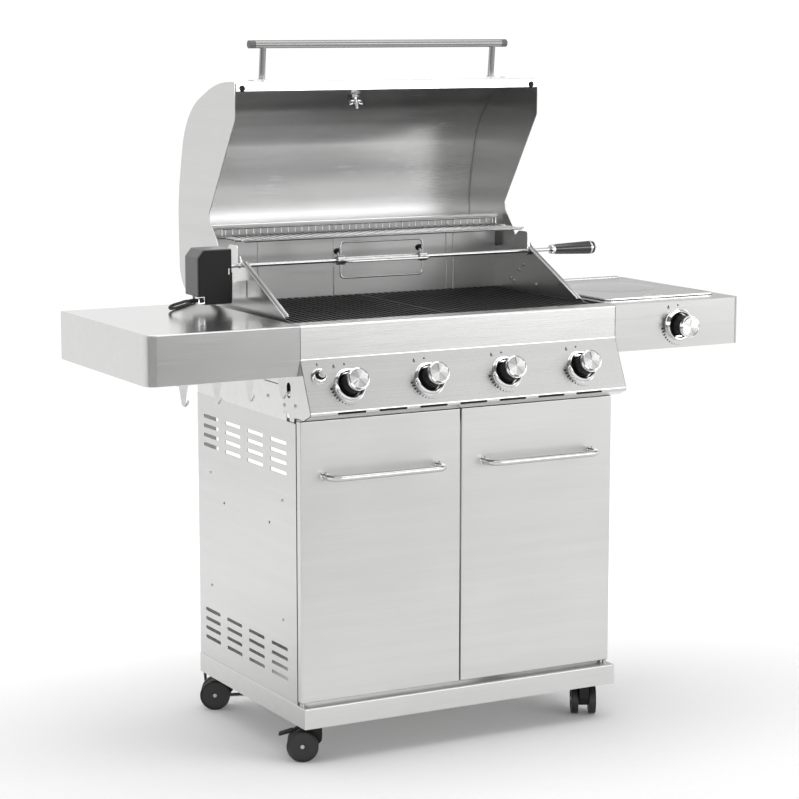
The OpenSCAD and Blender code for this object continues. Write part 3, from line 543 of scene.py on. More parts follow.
# The route's points, from the strain relief to the coil; y is from the cabinet's front plane.
CORD_ROUTE = [
    (-449.2, 262, 874), (-458, 262, 874), (-468, 265, 871), (-476, 273, 867.5), (-479, 285, 863), (-476,
        298, 858.5),
    (-467, 311, 855.3), (-452, 326, 854.2), (-432, 346, 854.1), (-410, 370, 854.1), (-390, 394, 854.1),
    (-375, 411, 854.3), (-366, 422, 852.5), (-357, 433, 847), (-350, 444, 836), (-344, 456, 817), (-337,
        469, 788),
    (-330, 482, 748), (-325, 492, 690), (-322, 498, 560), (-322, 500, 400), (-322, 500, 240), (-322, 500,
        110),
    (-321, 501, 50), (-315, 502, 22), (-301, 502, 8), (-283, 498, 3.6), (-260, 489, 3.2), (-237, 481.5,
        3.2),
    (-215.5, 478.6, 3.2),
]


def smooth(share):
    share = min(max(share, 0), 1)
    return share * share * (3 - 2 * share)


def coil_points():
    """Turns that lie beside and on each other, wound inwards below and outwards above."""
    centre = (COIL_LOW + COIL_HIGH) / 2
    outer = (COIL_HIGH.x - COIL_LOW.x) / 2 - CORD_D / 2
    points = []
    for step in range(0, COIL_TURNS * TURN_STEPS + 1):
        turn = step / TURN_STEPS
        inwards = smooth((turn - 0.7) / 0.3) - smooth((turn - 2.7) / 0.3)
        up = smooth((turn - 1.7) / 0.3)
        angle = math.tau * turn - math.pi / 2
        radius = outer - CORD_D * inwards
        points.append((centre.x + radius * math.cos(angle), centre.y + radius * math.sin(angle),
                       CORD_D / 2 + 0.2 + CORD_D * up))
    return points


def make_cord():
    path = [(x, y + FRONT, z) for x, y, z in CORD_ROUTE] + coil_points()
    middle_z = (PLUG_LOW.z + PLUG_HIGH.z) / 2
    path += [(PLUG_LOW.x - 18, PLUG_LOW.y + 8, middle_z + 0.3), (PLUG_LOW.x + 1, PLUG_LOW.y + 12, middle_z)]
    curve = bpy.data.curves.new("rotisserie_cord", "CURVE")
    curve.dimensions = "3D"
    curve.bevel_depth = CORD_D / 2 * MM
    curve.bevel_resolution = 4
    curve.resolution_u = 6
    curve.use_fill_caps = True
    spline = curve.splines.new("BEZIER")
    spline.bezier_points.add(len(path) - 1)
    for point, place in zip(spline.bezier_points, path):
        point.co = Vector(place) * MM
        point.handle_left_type = point.handle_right_type = "AUTO"
    curve.materials.append(SHEATH)
    cord = bpy.data.objects.new("rotisserie_cord", curve)
    bpy.context.scene.collection.objects.link(cord)
    return cord


def make_plug():
    """A moulded plug that lies beside its coil, with two pins."""
    low, high = PLUG_LOW, PLUG_HIGH
    mid_y, mid_z = (low.y + high.y) / 2, (low.z + high.z) / 2
    pins = high.x - 16
    plug = Piece("cord_plug_body", "cabinet", "black_plastic", "cord_plug")
    plug.add(block((low.x + 8, low.y, low.z), (pins, high.y, high.z), 3.5, 3), BLACK)
    neck = lathe([(0, 0), (4.2, 0), (5.0, 4), (7.5, 9), (0, 9)], 20)
    plug.add(put(neck, facing(low.x, mid_y, mid_z, (1, 0, 0))), BLACK)
    for groove in (14, 18, 22):
        plug.add(block((low.x + groove, low.y, low.z + 1.5), (low.x + groove + 1.6, high.y, high.z - 1.5),
                       0.5), BLACK)
    for y in (low.y + 5.5, high.y - 5.5):
        plug.add(block((pins - 1, y - 0.75, mid_z - 3), (high.x, y + 0.75, mid_z + 3), 0.5), BRASS)
    return plug.make()


CORD = make_cord()
PLUG = make_plug()
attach(CORD, "cabinet")
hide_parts("motor_cord", "cord_coil")


# ---------- cabinet: base, sides and doors ----------

def make_base():
    low, high = box("base_tray")
    base = Piece("base_shell", "cabinet", "brushed_sheet", "base_tray")
    base.add(hollow_box(low, high, (0, 0, -1), 2.2), SHEET_X)
    # return lip round the bottom edge
    lip = cut(rectangle(low.x + 0.6, high.x - 0.6, low.y + 0.6, high.y - 0.6, 2),
              rectangle(low.x + 16, high.x - 16, low.y + 16, high.y - 16, 2))
    base.add(put(raise_up(lip, SHEET), at(0, 0, low.z)), SHEET_X)
    # channels that carry the casters
    for i in range(1, 5):
        mount = middle(f"caster_{i}")
        side = LEFT if mount.x < 0 else RIGHT
        x = side * (HALF - 42)
        y = FRONT + (8 if i < 3 else SIDE_HIGH.y - FRONT - 38)
        base.add(block((x - 35, y - 30, low.z), (x + 35, y + 30, low.z + 2), 0.6), SHEET_Y)
        for dx, dy in ((-22, -18), (22, -18), (-22, 18), (22, 18)):
            base.add(put(hex_nut(9, 4), facing(x + dx, y + dy, low.z, (0, 0, -1)) @ at(0, 0, -0.5)), BOLT)
    base.make()


def side_screws():
    """Pan heads on the two side panels, and black discs of painted shade for plain holes."""
    for side, name in ((LEFT, "left"), (RIGHT, "right")):
        screws = Piece(f"side_screws_{name}", "cabinet", "zinc_hardware")
        outward = (side, 0, 0)
        for y, z in ((60, 505), (395, 505), (60, 270), (395, 270)):
            screws.add(put(screw(6), facing(side * HALF, FRONT + y, z, outward)), BOLT)
        # plain holes: flat black discs of painted shade, not cut through
        for y, z in ((118, 452), (330, 452)):
            screws.add(put(raise_up(disc(0, 0, 2.6, 14), 0.25),
                           facing(side * HALF, FRONT + y, z, outward)), SHADOW)
        screws.make()


def make_door(name):
    """A folded pan with return lips, stiffener and hinge pin bushes."""
    low, high = box(f"door_{name}")
    body = f"{name}_door"
    side = LEFT if name == "left" else RIGHT
    door = Piece(f"door_pan_{name}", body, "brushed_sheet", f"door_{name}")
    door.add(hollow_box(low, high, (0, 1, 0), 1.8), SHEET_X)
    lip = cut(rectangle(low.x + 0.8, high.x - 0.8, low.z + 0.8, high.z - 0.8),
              rectangle(low.x + 15, high.x - 15, low.z + 15, high.z - 15, 3))
    door.add(put(raise_up(lip, SHEET), at(0, high.y, 0) @ ON_FRONT), SHEET_X)
    # stiffener across the inside, behind the handle
    handle_z = middle(f"door_handle_{name}").z
    channel = [(0, 0), (0, 9), (26, 9), (26, 0)]
    stiff = folded([(handle_z - 13 + u, v) for u, v in channel], high.x - low.x - 36)
    door.add(put(stiff,
                 Matrix(((0, 0, 1, low.x + 18), (0, 1, 0, low.y + 1.4), (1, 0, 0, 0),
                         (0, 0, 0, 1)))), SHEET_X)
    legs = box(f"door_handle_{name}")
    for x in (legs[0].x + 6, legs[1].x - 6):
        door.add(put(screw(11), facing(x, low.y + 12, handle_z, (0, 1, 0))), BOLT)
    # pin bushes at the outer corners
    pin = hinge_of(f"{name}_door_hinge")
    for z0, z1 in ((low.z, low.z + 12), (high.z - 12, high.z)):
        ring = cut(disc(0, 0, 4.1), disc(0, 0, 2.55))
        door.add(put(raise_up(ring, z1 - z0), at(pin.x, pin.y, z0)), BOLT)
    # magnet plate at the meeting edge
    meet = low.x + 14 if side == RIGHT else high.x - 14
    door.add(block((meet - 9, high.y - 0.5, high.z - 60), (meet + 9, high.y + 1.0, high.z - 42), 0.6), BOLT)
    door.make()


def make_door_handle(name):
    low, high = box(f"door_handle_{name}")
    size = high.z - low.z
    z = (low.z + high.z) / 2
    x0, x1 = low.x + size / 2, high.x - size / 2
    out = low.y + size / 2
    handle = Piece(f"door_pull_{name}", f"{name}_door", "chrome_trim", f"door_handle_{name}")
    handle.add(wire([(x0, high.y, z), (x0, out, z), (x1, out, z), (x1, high.y, z)], size, 20, steps=9,
                    sides=6), TUBE)
    for x in (x0, x1):
        foot = lathe([(5.5, 0), (8.2, 0), (8.2, 0.8), (6.6, 2.4), (5.8, 3.0)], 28)
        handle.add(put(foot, facing(x, high.y, z, (0, -1, 0))), TUBE)
    handle.make()


# ---------- control panel ----------

LEAN = math.radians(24)
FASCIA_H = 65.0
FACE_L = 110.0
FASCIA_Y = box("shelf_left")[0].y
FASCIA_LOW = SHELF_TOP - FASCIA_H
DIAL_S = 54.0
FACE_FOOT = (FASCIA_Y - FACE_L * math.sin(LEAN), FASCIA_LOW - FACE_L * math.cos(LEAN))
LIP_FOOT = (FACE_FOOT[0] + 28, FACE_FOOT[1] - 12)


def on_face(x, down):
    """A place on the sloped control face: +Z out of it, +Y up it."""
    return at(x, FASCIA_Y - down * math.sin(LEAN), FASCIA_LOW - down * math.cos(LEAN)) @ Matrix.Rotation(
        math.pi / 2 - LEAN, 4, "X")


def dial_place(i):
    """Where dial i stands on its panel."""
    if i < 5:
        return on_face(middle(f"valve_stem_{i}").x, DIAL_S)
    side = middle("valve_stem_5")
    return at(side.x, FASCIA_Y, side.z) @ Matrix.Rotation(math.pi / 2, 4, "X")


def make_control_panel():
    low, high = box("control_panel")
    width = high.x - low.x
    panel = Piece("control_panel_shell", "cabinet", "brushed_sheet", "control_panel")
    top = [(FRONT + 18, SHELF_TOP), (FASCIA_Y, SHELF_TOP), (FASCIA_Y, FASCIA_LOW), FACE_FOOT,
           (LIP_FOOT[0] - 0.1, LIP_FOOT[1] + 0.04)]
    line = rounded([(*p, 0) for p in top], (0, 3.5, 6, 7, 0), 6)
    panel.add(put(folded(line, width), at(low.x, 0, 0) @ ON_SIDE), PANEL)
    # vent slots on the lower bend: thin black plates of painted shade, not cut through
    for x in range(-264, 265, 88):
        spot = facing(x, FACE_FOOT[0] + 2.77, FACE_FOOT[1] + 1.08, (0, -0.931, -0.365)) @ at(0, 0, -0.4)
        panel.add(put(raise_up(slot(0, 0, 60, 4.4), 0.55), spot), SHADOW)
    # end plates with their oval window, notch and screws
    arc = [(FRONT + 39 + 17 * math.cos(math.radians(a)), CAB_TOP + 2 + 17 * math.sin(math.radians(a)))
           for a in (180, 158, 136, 114, 92, 70, 49.7)]
    plate = [(p.x, p.y) for p in line] + [(FRONT + 2, LIP_FOOT[1]), (FRONT + 4, CAB_TOP + 2), *arc,
                                          (FRONT + 50, SHELF_TOP - 95), (FRONT + 18, SHELF_TOP - 95)]
    window = (FRONT + 26, SHELF_TOP - 128)
    for side in (LEFT, RIGHT):
        face = cut(outline(plate), put(slot(0, 0, 30, 17), at(*window, 0) @ turned(90, "Z")),
                   disc(FRONT + 9, SHELF_TOP - 61, 7, 20), disc(FRONT, LIP_FOOT[1] + 24, 2.5, 14))
        x = high.x - SHEET if side == RIGHT else low.x
        panel.add(put(raise_up(face, SHEET), at(x, 0, 0) @ ON_SIDE), PANEL)
        outer = side * high.x
        panel.add(put(screw(11), facing(side * (high.x - 4), window[0] + 3, window[1] - 8, (side, 0, 0))),
                  CHROME)
        # painted shade: a black slot plate set inside the oval window
        panel.add(put(raise_up(slot(0, 0, 28, 15.5), 0.4),
                      at(side * (high.x - 6), *window) @ ON_SIDE @ turned(90, "Z")), SHADOW)
        for y, z in ((-3, 696), (45, 692)):
            panel.add(put(screw(7), facing(outer, FRONT + y, z, (side, 0, 0))), BOLT)
    panel.make()


def make_marks():
    """The printed arcs, dots and flame marks round each dial."""
    marks = Piece("dial_marks", "cabinet", "black_plastic")
    ink = 0.12
    for i in range(1, 6):
        place = dial_place(i)
        for k in range(10):
            angle = math.radians(188 + 9.5 * k)
            size = 1.0 - k / 12
            spot = at(40 * math.cos(angle), 40 * math.sin(angle), 0) @ Matrix.Rotation(angle, 4, "Z")
            marks.add(put(raise_up(rectangle(-3.2 * size, 3.2 * size, -2.0 * size, 2.0 * size, 0.4, 2),
                                   ink),
                          place @ spot), INK)
        marks.add(put(raise_up(disc(-4, 40.5, 1.9, 14), ink), place), INK)
        # a flame mark: a drop with a pointed top
        drop = outline([(-2.6, 0), (2.6, 0), (2.2, 3.6), (0, 8.4), (-2.2, 3.6)], (1.8, 1.8, 1, 0, 1), 3)
        flame = cut(drop, outline([(-1.1, 1.2), (1.1, 1.2), (0, 4.4)]))
        marks.add(put(raise_up(flame, ink), place @ at(-27, 34, 0)), INK)
    # spark mark over the igniter
    igniter = middle("igniter_button")
    spark = outline([(-0.4, -4.5), (2.6, 1), (0.6, 0.8), (1.4, 5), (-2.4, -0.6), (-0.3, -0.4)])
    marks.add(put(raise_up(spark, ink), on_face(igniter.x, 33) @ at(0, 22, 0)), INK)
    marks.make()


def make_dials():
    bezels = Piece("dial_bezels", "cabinet", "chrome_trim", "knob_bezels")
    for i in range(1, 6):
        ring = lathe([(20, 0.4), (24.5, 1.2), (25.2, 5.2), (26.6, 7.6), (28.4, 8.0), (30.2, 6.6),
                      (31.6, 2.6), (32.5, 1.2),
                      (32.5, 0), (20, 0), (20, 0.4)], 64)
        bezels.add(put(ring, dial_place(i)), CHROME)
        dish = lathe([(7, 0.2), (24, 0.5), (24, 0.3), (7, 0.1)], 48)
        bezels.add(put(dish, dial_place(i)), BLACK)
    igniter = middle("igniter_button")
    collar = lathe([(9.0, 0), (15, 0), (15, 1.6), (13.6, 6), (12.2, 8.6), (10.6, 9), (9.2, 8), (9.0, 0)],
                   40)
    bezels.add(put(collar, on_face(igniter.x, 33)), CHROME)
    bezels.make()
    button = Piece("igniter_cap", "igniter", "black_plastic", "igniter_button")
    place = on_face(igniter.x, 33)
    button.add(put(rod((0, 0, -14), (0, 0, 6), 8), place), BOLT)
    button.add(put(lathe([(0, 4.5), (8.4, 4.5), (8.4, 15.5), (7.9, 16.4)], 32), place), BLACK)
    button.add(put(lathe([(7.9, 16.3), (7.6, 17.4), (6.6, 18.2), (0, 18.5)], 32), place), TUBE)
    button.make()


def make_knob(i, turn):
    """A knob: knurled black side, bright rim, spun face and its pointer line."""
    place = dial_place(i) @ turned(turn, "Z")
    centre = place.translation
    lean = math.pi / 2 - LEAN if i < 5 else math.pi / 2
    face = spun(f"knob_face_{i}", centre * MM, lean)
    knob = Piece(f"dial_knob_{i}", f"dial_{i}", "black_plastic", f"knob_{i}")
    knob.add(put(lathe([(3.2, 9.6), (20.2, 9.6), (20.6, 10.4), (20.0, 32.6), (3.2, 32.6)], 48), place),
             BLACK)
    for k in range(36):
        angle = math.tau * k / 36
        spot = place @ Matrix.Rotation(angle, 4, "Z") @ at(20.0, 0, 0)
        knob.add(put(block((-0.7, -0.75, 12), (0.75, 0.75, 31.5), 0.4, 1), spot), BLACK)
    knob.add(put(lathe([(19.6, 32.4), (21.2, 32.6), (22, 34), (22, 39.2), (21.2, 41.2), (19.4, 42),
                        (18.6, 41.4)], 56),
                 place), CHROME)
    knob.add(put(lathe([(18.7, 41.3), (12, 41.6), (6, 41.7), (0, 41.75)], 56), place), face)
    knob.add(put(block((-0.55, 5.5, 41.5), (0.55, 17.2, 42.0), 0.15, 1), place), INK)
    knob.make()


# ---------- side shelves ----------

SHELF_R = 20.0


def shelf_shell(low, high, side, hole=None):
    """A folded shelf: its outer corners are round, and its skirt and its edge are one sheet."""
    x_in, x_out = (low.x, high.x) if side == RIGHT else (high.x, low.x)
    corners = [(x_in, low.y), (x_out, low.y), (x_out, high.y), (x_in, high.y)]
    face = outline(corners, (0, SHELF_R, 2.5, 0), 12)
    if hole:
        ring = bmesh.ops.inset_region(face, faces=face.faces[:], thickness=14, use_even_offset=True)
        inside = [f for f in face.faces if f not in ring["faces"]]
        keep = [e for f in inside for e in f.edges]
        bmesh.ops.delete(face, geom=inside, context="FACES_ONLY")
        before = set(face.edges)
        join(face, hole)
        added = [e for e in face.edges if e not in before]
        bmesh.ops.delete(face, geom=[f for f in face.faces if set(f.edges) <= set(added)],
                         context="FACES_ONLY")
        bmesh.ops.triangle_fill(face, use_beauty=True, edges=keep + added, normal=(0, 0, 1))
    bmesh.ops.recalc_face_normals(face, faces=face.faces[:])
    if sum(f.normal.z for f in face.faces) < 0:
        bmesh.ops.reverse_faces(face, faces=face.faces[:])
    rim = [e for e in face.edges if e.is_boundary and not (hole and near_hole(e, middle("side_burner")))]
    made = bmesh.ops.extrude_edge_only(face, edges=rim)
    lower = [v for v in made["geom"] if isinstance(v, bmesh.types.BMVert)]
    bmesh.ops.translate(face, verts=lower, vec=(0, 0, low.z - high.z))
    skirt = {f for v in lower for f in v.link_faces}
    fold_line = [e for e in face.edges if len(e.link_faces) == 2 and len(set(e.link_faces) & skirt) == 1]
    bmesh.ops.recalc_face_normals(face, faces=face.faces[:])
    soften(face, 2.5, fold_line, 3)
    bmesh.ops.solidify(face, geom=face.faces[:], thickness=SHEET)
    return put(face, at(0, 0, high.z))


def near_hole(edge, centre):
    return (edge.verts[0].co.xy - centre.xy).length < 130


def shelf_lip(low, high, side):
    x_in, x_out = (low.x, high.x) if side == RIGHT else (high.x, low.x)
    sx = 1 if x_out > x_in else -1
    outer = outline([(x_in, low.y + 1), (x_out - sx, low.y + 1), (x_out - sx, high.y - 1),
                     (x_in, high.y - 1)],
                    (0, SHELF_R - 1, 2, 0), 12)
    inner = outline([(x_in + 13 * sx, low.y + 13), (x_out - 13 * sx, low.y + 13),
                     (x_out - 13 * sx, high.y - 13),
                     (x_in + 13 * sx, high.y - 13)], (0, SHELF_R - 13, 0, 0), 8)
    return put(raise_up(cut(outer, inner), SHEET), at(0, 0, low.z))


def make_shelves():
    for side, name in ((LEFT, "left"), (RIGHT, "right")):
        low, high = box(f"shelf_{name}")
        shelf = Piece(f"shelf_shell_{name}", "cabinet", "brushed_sheet", f"shelf_{name}")
        pan = middle("side_burner")
        hole = disc(pan.x, pan.y, 104.5, 48) if side == RIGHT else None
        shelf.add(shelf_shell(low, high, side, hole), SHELF)
        shelf.add(shelf_lip(low, high, side), SHELF)
        # brackets and bolts that hold the shelf to the cooking box
        inner = low.x if side == RIGHT else high.x
        for y in (FRONT + 60, FRONT + 340):
            bracket = sorted_box(inner, inner + side * 26, y - 14, y + 14, low.z + 6, low.z + 8)
            shelf.add(block(*bracket, 0.6), SHEET_Y)
            shelf.add(put(hex_nut(12, 5), facing(inner + side * 14, y, low.z + 6, (0, 0, -1))), BOLT)
        shelf.make()


def sorted_box(x0, x1, y0, y1, z0, z1):
    return (min(x0, x1), y0, z0), (max(x0, x1), y1, z1)


def make_hooks():
    """Flat tapered hooks on one rail under the left shelf."""
    low, high = box("tool_hooks")
    hooks = Piece("tool_hook_rail", "cabinet", "brushed_sheet", "tool_hooks")
    hooks.add(block((low.x, low.y, high.z - SHEET), (high.x, high.y, high.z), 0.4), SHEET_X)
    drop = high.z - low.z
    shape = [(-9, 0), (9, 0), (5.0, -drop + 19), (4.2, -drop + 9), (4.6, -drop + 6.4), (7.4, -drop + 6.4),
             (7.6, -drop + 12),
             (11, -drop + 12), (11, -drop + 5), (6, -drop + 0.4), (0, -drop + 0.4), (-3.6,
                 -drop + 4), (-4.6, -drop + 12)]
    for k in range(4):
        x = high.x - 14 - 66.5 * k
        hook = raise_up(outline(shape, (0, 0, 3, 2, 1, 1, 1, 2.4, 3, 4, 4, 3, 4), 3), 2.2)
        hooks.add(put(hook, at(x, low.y + 2.3, high.z - 0.4) @ ON_FRONT), SHEET_X)
    hooks.make()


def make_side_lid():
    """The side burner's lid: a pressed plate with a finger slot and a shallow dish."""
    low, high = box("side_burner_lid")
    pan = middle("side_burner")
    z = SHELF_TOP + 1.4
    lid = Piece("side_burner_cover", "side_lid", "bright_sheet", "side_burner_lid")
    plate = cut(rectangle(low.x, high.x, low.y, high.y - 3, 16, 6), slot(pan.x, low.y + 22, 56, 14))
    lid.add(put(raise_up(plate, 2.2), at(0, 0, z)), SHELF)
    edge = cut(rectangle(low.x + 0.4, high.x - 0.4, low.y + 0.4, high.y - 3.4, 16, 6),
               rectangle(low.x + 5, high.x - 5, low.y + 5, high.y - 8, 12, 6))
    lid.add(put(soften_top(raise_up(edge, 3.0)), at(0, 0, z)), SHELF)
    dish = lathe([(0, 3.4), (70, 3.3), (84, 2.9), (92, 2.25), (96, 2.0)], 64)
    lid.add(put(dish, at(pan.x, pan.y + 8, z)), SHELF)
    hinge = hinge_of("side_burner_lid_hinge")
    lid.add(rod((low.x + 10, hinge.y, hinge.z), (high.x - 10, hinge.y, hinge.z), 6, 16, 0.6), TUBE)
    # cups beside the finger slot, where its rim is pressed down
    for x in (pan.x - 20, pan.x + 20):
        lid.add(put(lathe([(4.6, 2.3), (6.2, 2.9), (7.6, 2.2)], 20), at(x, low.y + 22, z)), CHROME)
    lid.make()


def soften_top(shape):
    top = max(v.co.z for v in shape.verts)
    chosen = [e for e in shape.edges if all(abs(v.co.z - top) < 1e-4 for v in e.verts) and e.calc_face_angle(0) > 1]
    return soften(shape, 0.8, chosen, 2)


# ---------- cooking box, grates and rack ----------

def make_grates():
    """Two cast grates of front-to-back bars on three cross ribs."""
    low, high = box("grates")
    bar_w, pitch = 6.5, 15.0
    half_w = high.x - 1
    count = math.floor((half_w - bar_w) / pitch)
    step = (half_w - bar_w) / count
    for side, name in ((LEFT, "left"), (RIGHT, "right")):
        grate = Piece(f"grate_{name}", "cabinet", "cast_iron", "grates")
        for i in range(count + 1):
            x = side * (1 + i * step + bar_w / 2)
            bar = block((x - bar_w / 2, low.y, high.z - 11), (x + bar_w / 2, high.y, high.z))
            for vert in bar.verts:
                if vert.co.z < high.z - 5:
                    vert.co.x = x + (vert.co.x - x) * 0.6
            soften(bar, 1.5, [e for e in bar.edges if all(v.co.z > high.z - 5 for v in e.verts)], 2)
            grate.add(bar, IRON)
        mid = (low.y + high.y) / 2
        for y in (low.y, mid - 4, high.y - 8):
            ends = sorted((side * 1.0, side * (1 + half_w - 1)))
            grate.add(block((ends[0], y, low.z), (ends[1], y + 8, high.z - 2), 1.2), IRON)
        # feet at the corners
        for y in (low.y + 10, high.y - 10):
            for x in (side * 8, side * (half_w - 6)):
                grate.add(block((x - 4, y - 6, low.z), (x + 4, y + 6, high.z - 3), 1.5), IRON)
        grate.make()


def make_warming_rack():
    low, high = box("warming_rack")
    wire_d, rail_d = 3.0, 5.0
    back = high.y - wire_d / 2
    front = low.y + rail_d / 2
    z = low.z + wire_d / 2
    half = high.x - 14
    rack = Piece("warming_rack_wires", "cabinet", "steel_wire", "warming_rack")
    rack.add(wire([(-half, front, z), (half, front, z)], rail_d, sides=3), WIRE)
    rack.add(wire([(-half, (front + back) / 2, z - 1), (half, (front + back) / 2, z - 1)], rail_d - 1,
                  sides=3), WIRE)
    rack.add(wire([(-half, back - 3, z - 1), (half, back - 3, z - 1)], rail_d - 1, sides=3), WIRE)
    rack.add(wire([(-half, back, high.z - 2), (half, back, high.z - 2)], rail_d - 1, sides=3), WIRE)
    count = 40
    for i in range(count + 1):
        x = (i / count - 0.5) * 2 * (half - 8)
        rack.add(wire([(x, front, z + 1.2), (x, back, z + 1.2), (x, back + 0.4, high.z - 1)], wire_d, 5,
                      steps=4), WIRE)
    # ends: side frames with feet that rest on the box sides
    for side in (LEFT, RIGHT):
        x = side * half
        rack.add(wire([(x, front, z), (x, back, z), (x, back, high.z - 2)], rail_d - 1, 5, steps=4,
                      sides=3), WIRE)
        for y in (low.y + 18, high.y - 18):
            rack.add(wire([(x - side * 12, y, z), (side * high.x, y, z)], rail_d - 1, sides=3), WIRE)
    rack.make()


def make_box_trim():
    """Rolled edges on the box sides, ribs on the back wall, and their screws."""
    inner = HALF - 15 - SHEET
    slope = [Vector((0, FRONT + 66, SHELF_TOP - 1)), Vector((0, FRONT + 266, SHELF_TOP + 92))]
    for side, name in ((LEFT, "left"), (RIGHT, "right")):
        trim = Piece(f"box_edge_{name}", "cabinet", "bright_sheet")
        along = (slope[1] - slope[0]).normalized()
        start = slope[0] + along * 14
        end = slope[1]
        trim.add(wire([(side * (inner - 9), start.y, start.z + 0.6),
                       (side * (inner - 9), end.y, end.z + 0.6)], 4.4, sides=4), BOX)
        trim.add(wire([(side * inner, start.y, start.z + 0.2), (side * inner, end.y, end.z + 0.2)], 3.0,
                      sides=3), BOX)
        for y, z in ((300, 905), (318, 893), (250, 868), (338, 868), (352, 872)):
            trim.add(put(screw(7), facing(side * inner, FRONT + y, z, (-side, 0, 0))), BOLT)
        for y, z in ((210, 700), (120, 700), (60, 716), (360, 700), (420, 700)):
            trim.add(put(screw(7), facing(side * HALF, FRONT + y, z, (side, 0, 0))), BOLT)
        # painted shade: a black disc for a hole, and a thin black strip for a groove's dark line
        trim.add(put(raise_up(disc(0, 0, 4, 18), 0.25),
                     facing(side * HALF, FRONT + 214, 716, (side, 0, 0))), SHADOW)
        groove = slot(0, 0, 190, 1.6)
        trim.add(put(raise_up(groove, 0.25),
                     at(side * HALF + (0 if side == RIGHT else -0.25), FRONT + 150, 729) @ ON_SIDE), SHADOW)
        trim.make()
    back_low, back_high = box("firebox_rear")
    ribs = Piece("box_back_ribs", "cabinet", "bright_sheet")
    for x in (-228, -55, 213, 230):
        rib = wire([(x, back_high.y - 1.6, back_low.z + 150), (x, back_high.y - 1.6, back_high.z - 8)],
                   2.4, sides=2)
        ribs.add(rib, BOX)
    for x in (-300, -120, 120, 300):
        ribs.add(put(screw(8), facing(x, back_high.y, back_high.z - 30, (0, 1, 0))), BOLT)
    ribs.make()


# ---------- rotisserie ----------

SPIT = hinge_of("spit_spin")


def make_spit():
    low, high = box("spit_rod")
    rods = Piece("spit_shaft", "spit", "steel_wire", "spit_rod")
    rods.add(rod((low.x, SPIT.y, SPIT.z), (high.x, SPIT.y, SPIT.z), 8, 24, 0.8), WIRE)
    inner = HALF - 15 - SHEET
    for side in (LEFT, RIGHT):
        collar = lathe([(4, -7), (8.4, -7), (9, -6), (9, -2.6), (8.4, -2), (5.5, -2), (5.5, 4.2)]
                       + ([(8.6, 4.2), (9, 5), (9, 10.5), (8.2, 11.2),
                           (4, 11.2)] if side == RIGHT else [(4, 4.2)]), 28)
        rods.add(put(collar,
                     at(side * inner, SPIT.y,
                        SPIT.z) @ (turned(90, "Y") if side == RIGHT else turned(-90, "Y"))), CHROME)
    rods.make()
    forks = Piece("meat_forks", "spit", "steel_wire", "spit_forks")
    low, high = box("spit_forks")
    reach = 36.0
    for x, way in ((low.x + 9, RIGHT), (high.x - 9, LEFT)):
        hub = lathe([(4.1, -9), (8.2, -9), (9, -8), (9, 8), (8.2, 9), (4.1, 9)], 28)
        forks.add(put(hub, at(x, SPIT.y, SPIT.z) @ turned(90, "Y")), BOLT)
        for tilt in (0, 90):
            turn = at(x, SPIT.y, SPIT.z) @ turned(tilt, "X")
            prong = [(way * 94, 0, reach), (0, 0, reach), (0, 0, -reach), (way * 94, 0, -reach)]
            forks.add(put(wire(prong, 4.2, 9, steps=5, sides=3), turn), WIRE)
            for s in (-1, 1):
                tip = lathe([(2.1, 0), (1.7, 4), (0.6, 9.5), (0, 10)], 12)
                forks.add(put(tip, turn @ facing(way * 94, 0, s * reach, (way, 0, 0))), WIRE)
        # thumb screw with a round head
        thumb = at(x, SPIT.y, SPIT.z) @ turned(-40, "X")
        forks.add(put(rod((0, 0, 6), (0, 0, 20), 5, 14), thumb), BOLT)
        forks.add(put(lathe([(0, 19), (6.2, 19), (7, 20), (7, 25), (6.2, 26), (0, 26)], 20), thumb), BLACK)
    forks.make()


def make_spit_grip():
    low, high = box("spit_handle")
    length = high.x - low.x
    place = at(low.x, SPIT.y, SPIT.z) @ turned(90, "Y")
    grip = Piece("spit_grip", "spit", "black_plastic", "spit_handle")
    grip.add(put(lathe([(4, 0), (9.4, 0), (10, 1), (10, 8), (9.2, 9.4), (4, 9.4)], 32), place), CHROME)
    grip.add(put(lathe([(4, 9), (9.6, 9), (10.6, 12), (12.2, 50), (13.8, 92), (14, 100), (13, 105),
                        (10, 107.4), (0, 107.6)],
                       40), place), GRIP)
    grip.add(put(lathe([(13.9, 95), (14, 96), (14, 99), (13.7, 100.4)], 40), place), CHROME)
    grip.add(put(rod((0, 0, 106), (0, 0, length - 9), 5, 14), place), CHROME)
    ring_r = 4.6
    circle = [(0, ring_r * math.cos(math.tau * k / 20),
               length - 6 + ring_r * math.sin(math.tau * k / 20)) for k in range(20)]
    grip.add(put(wire(circle, 2.4, closed=True, sides=3), place), CHROME)
    grip.make()


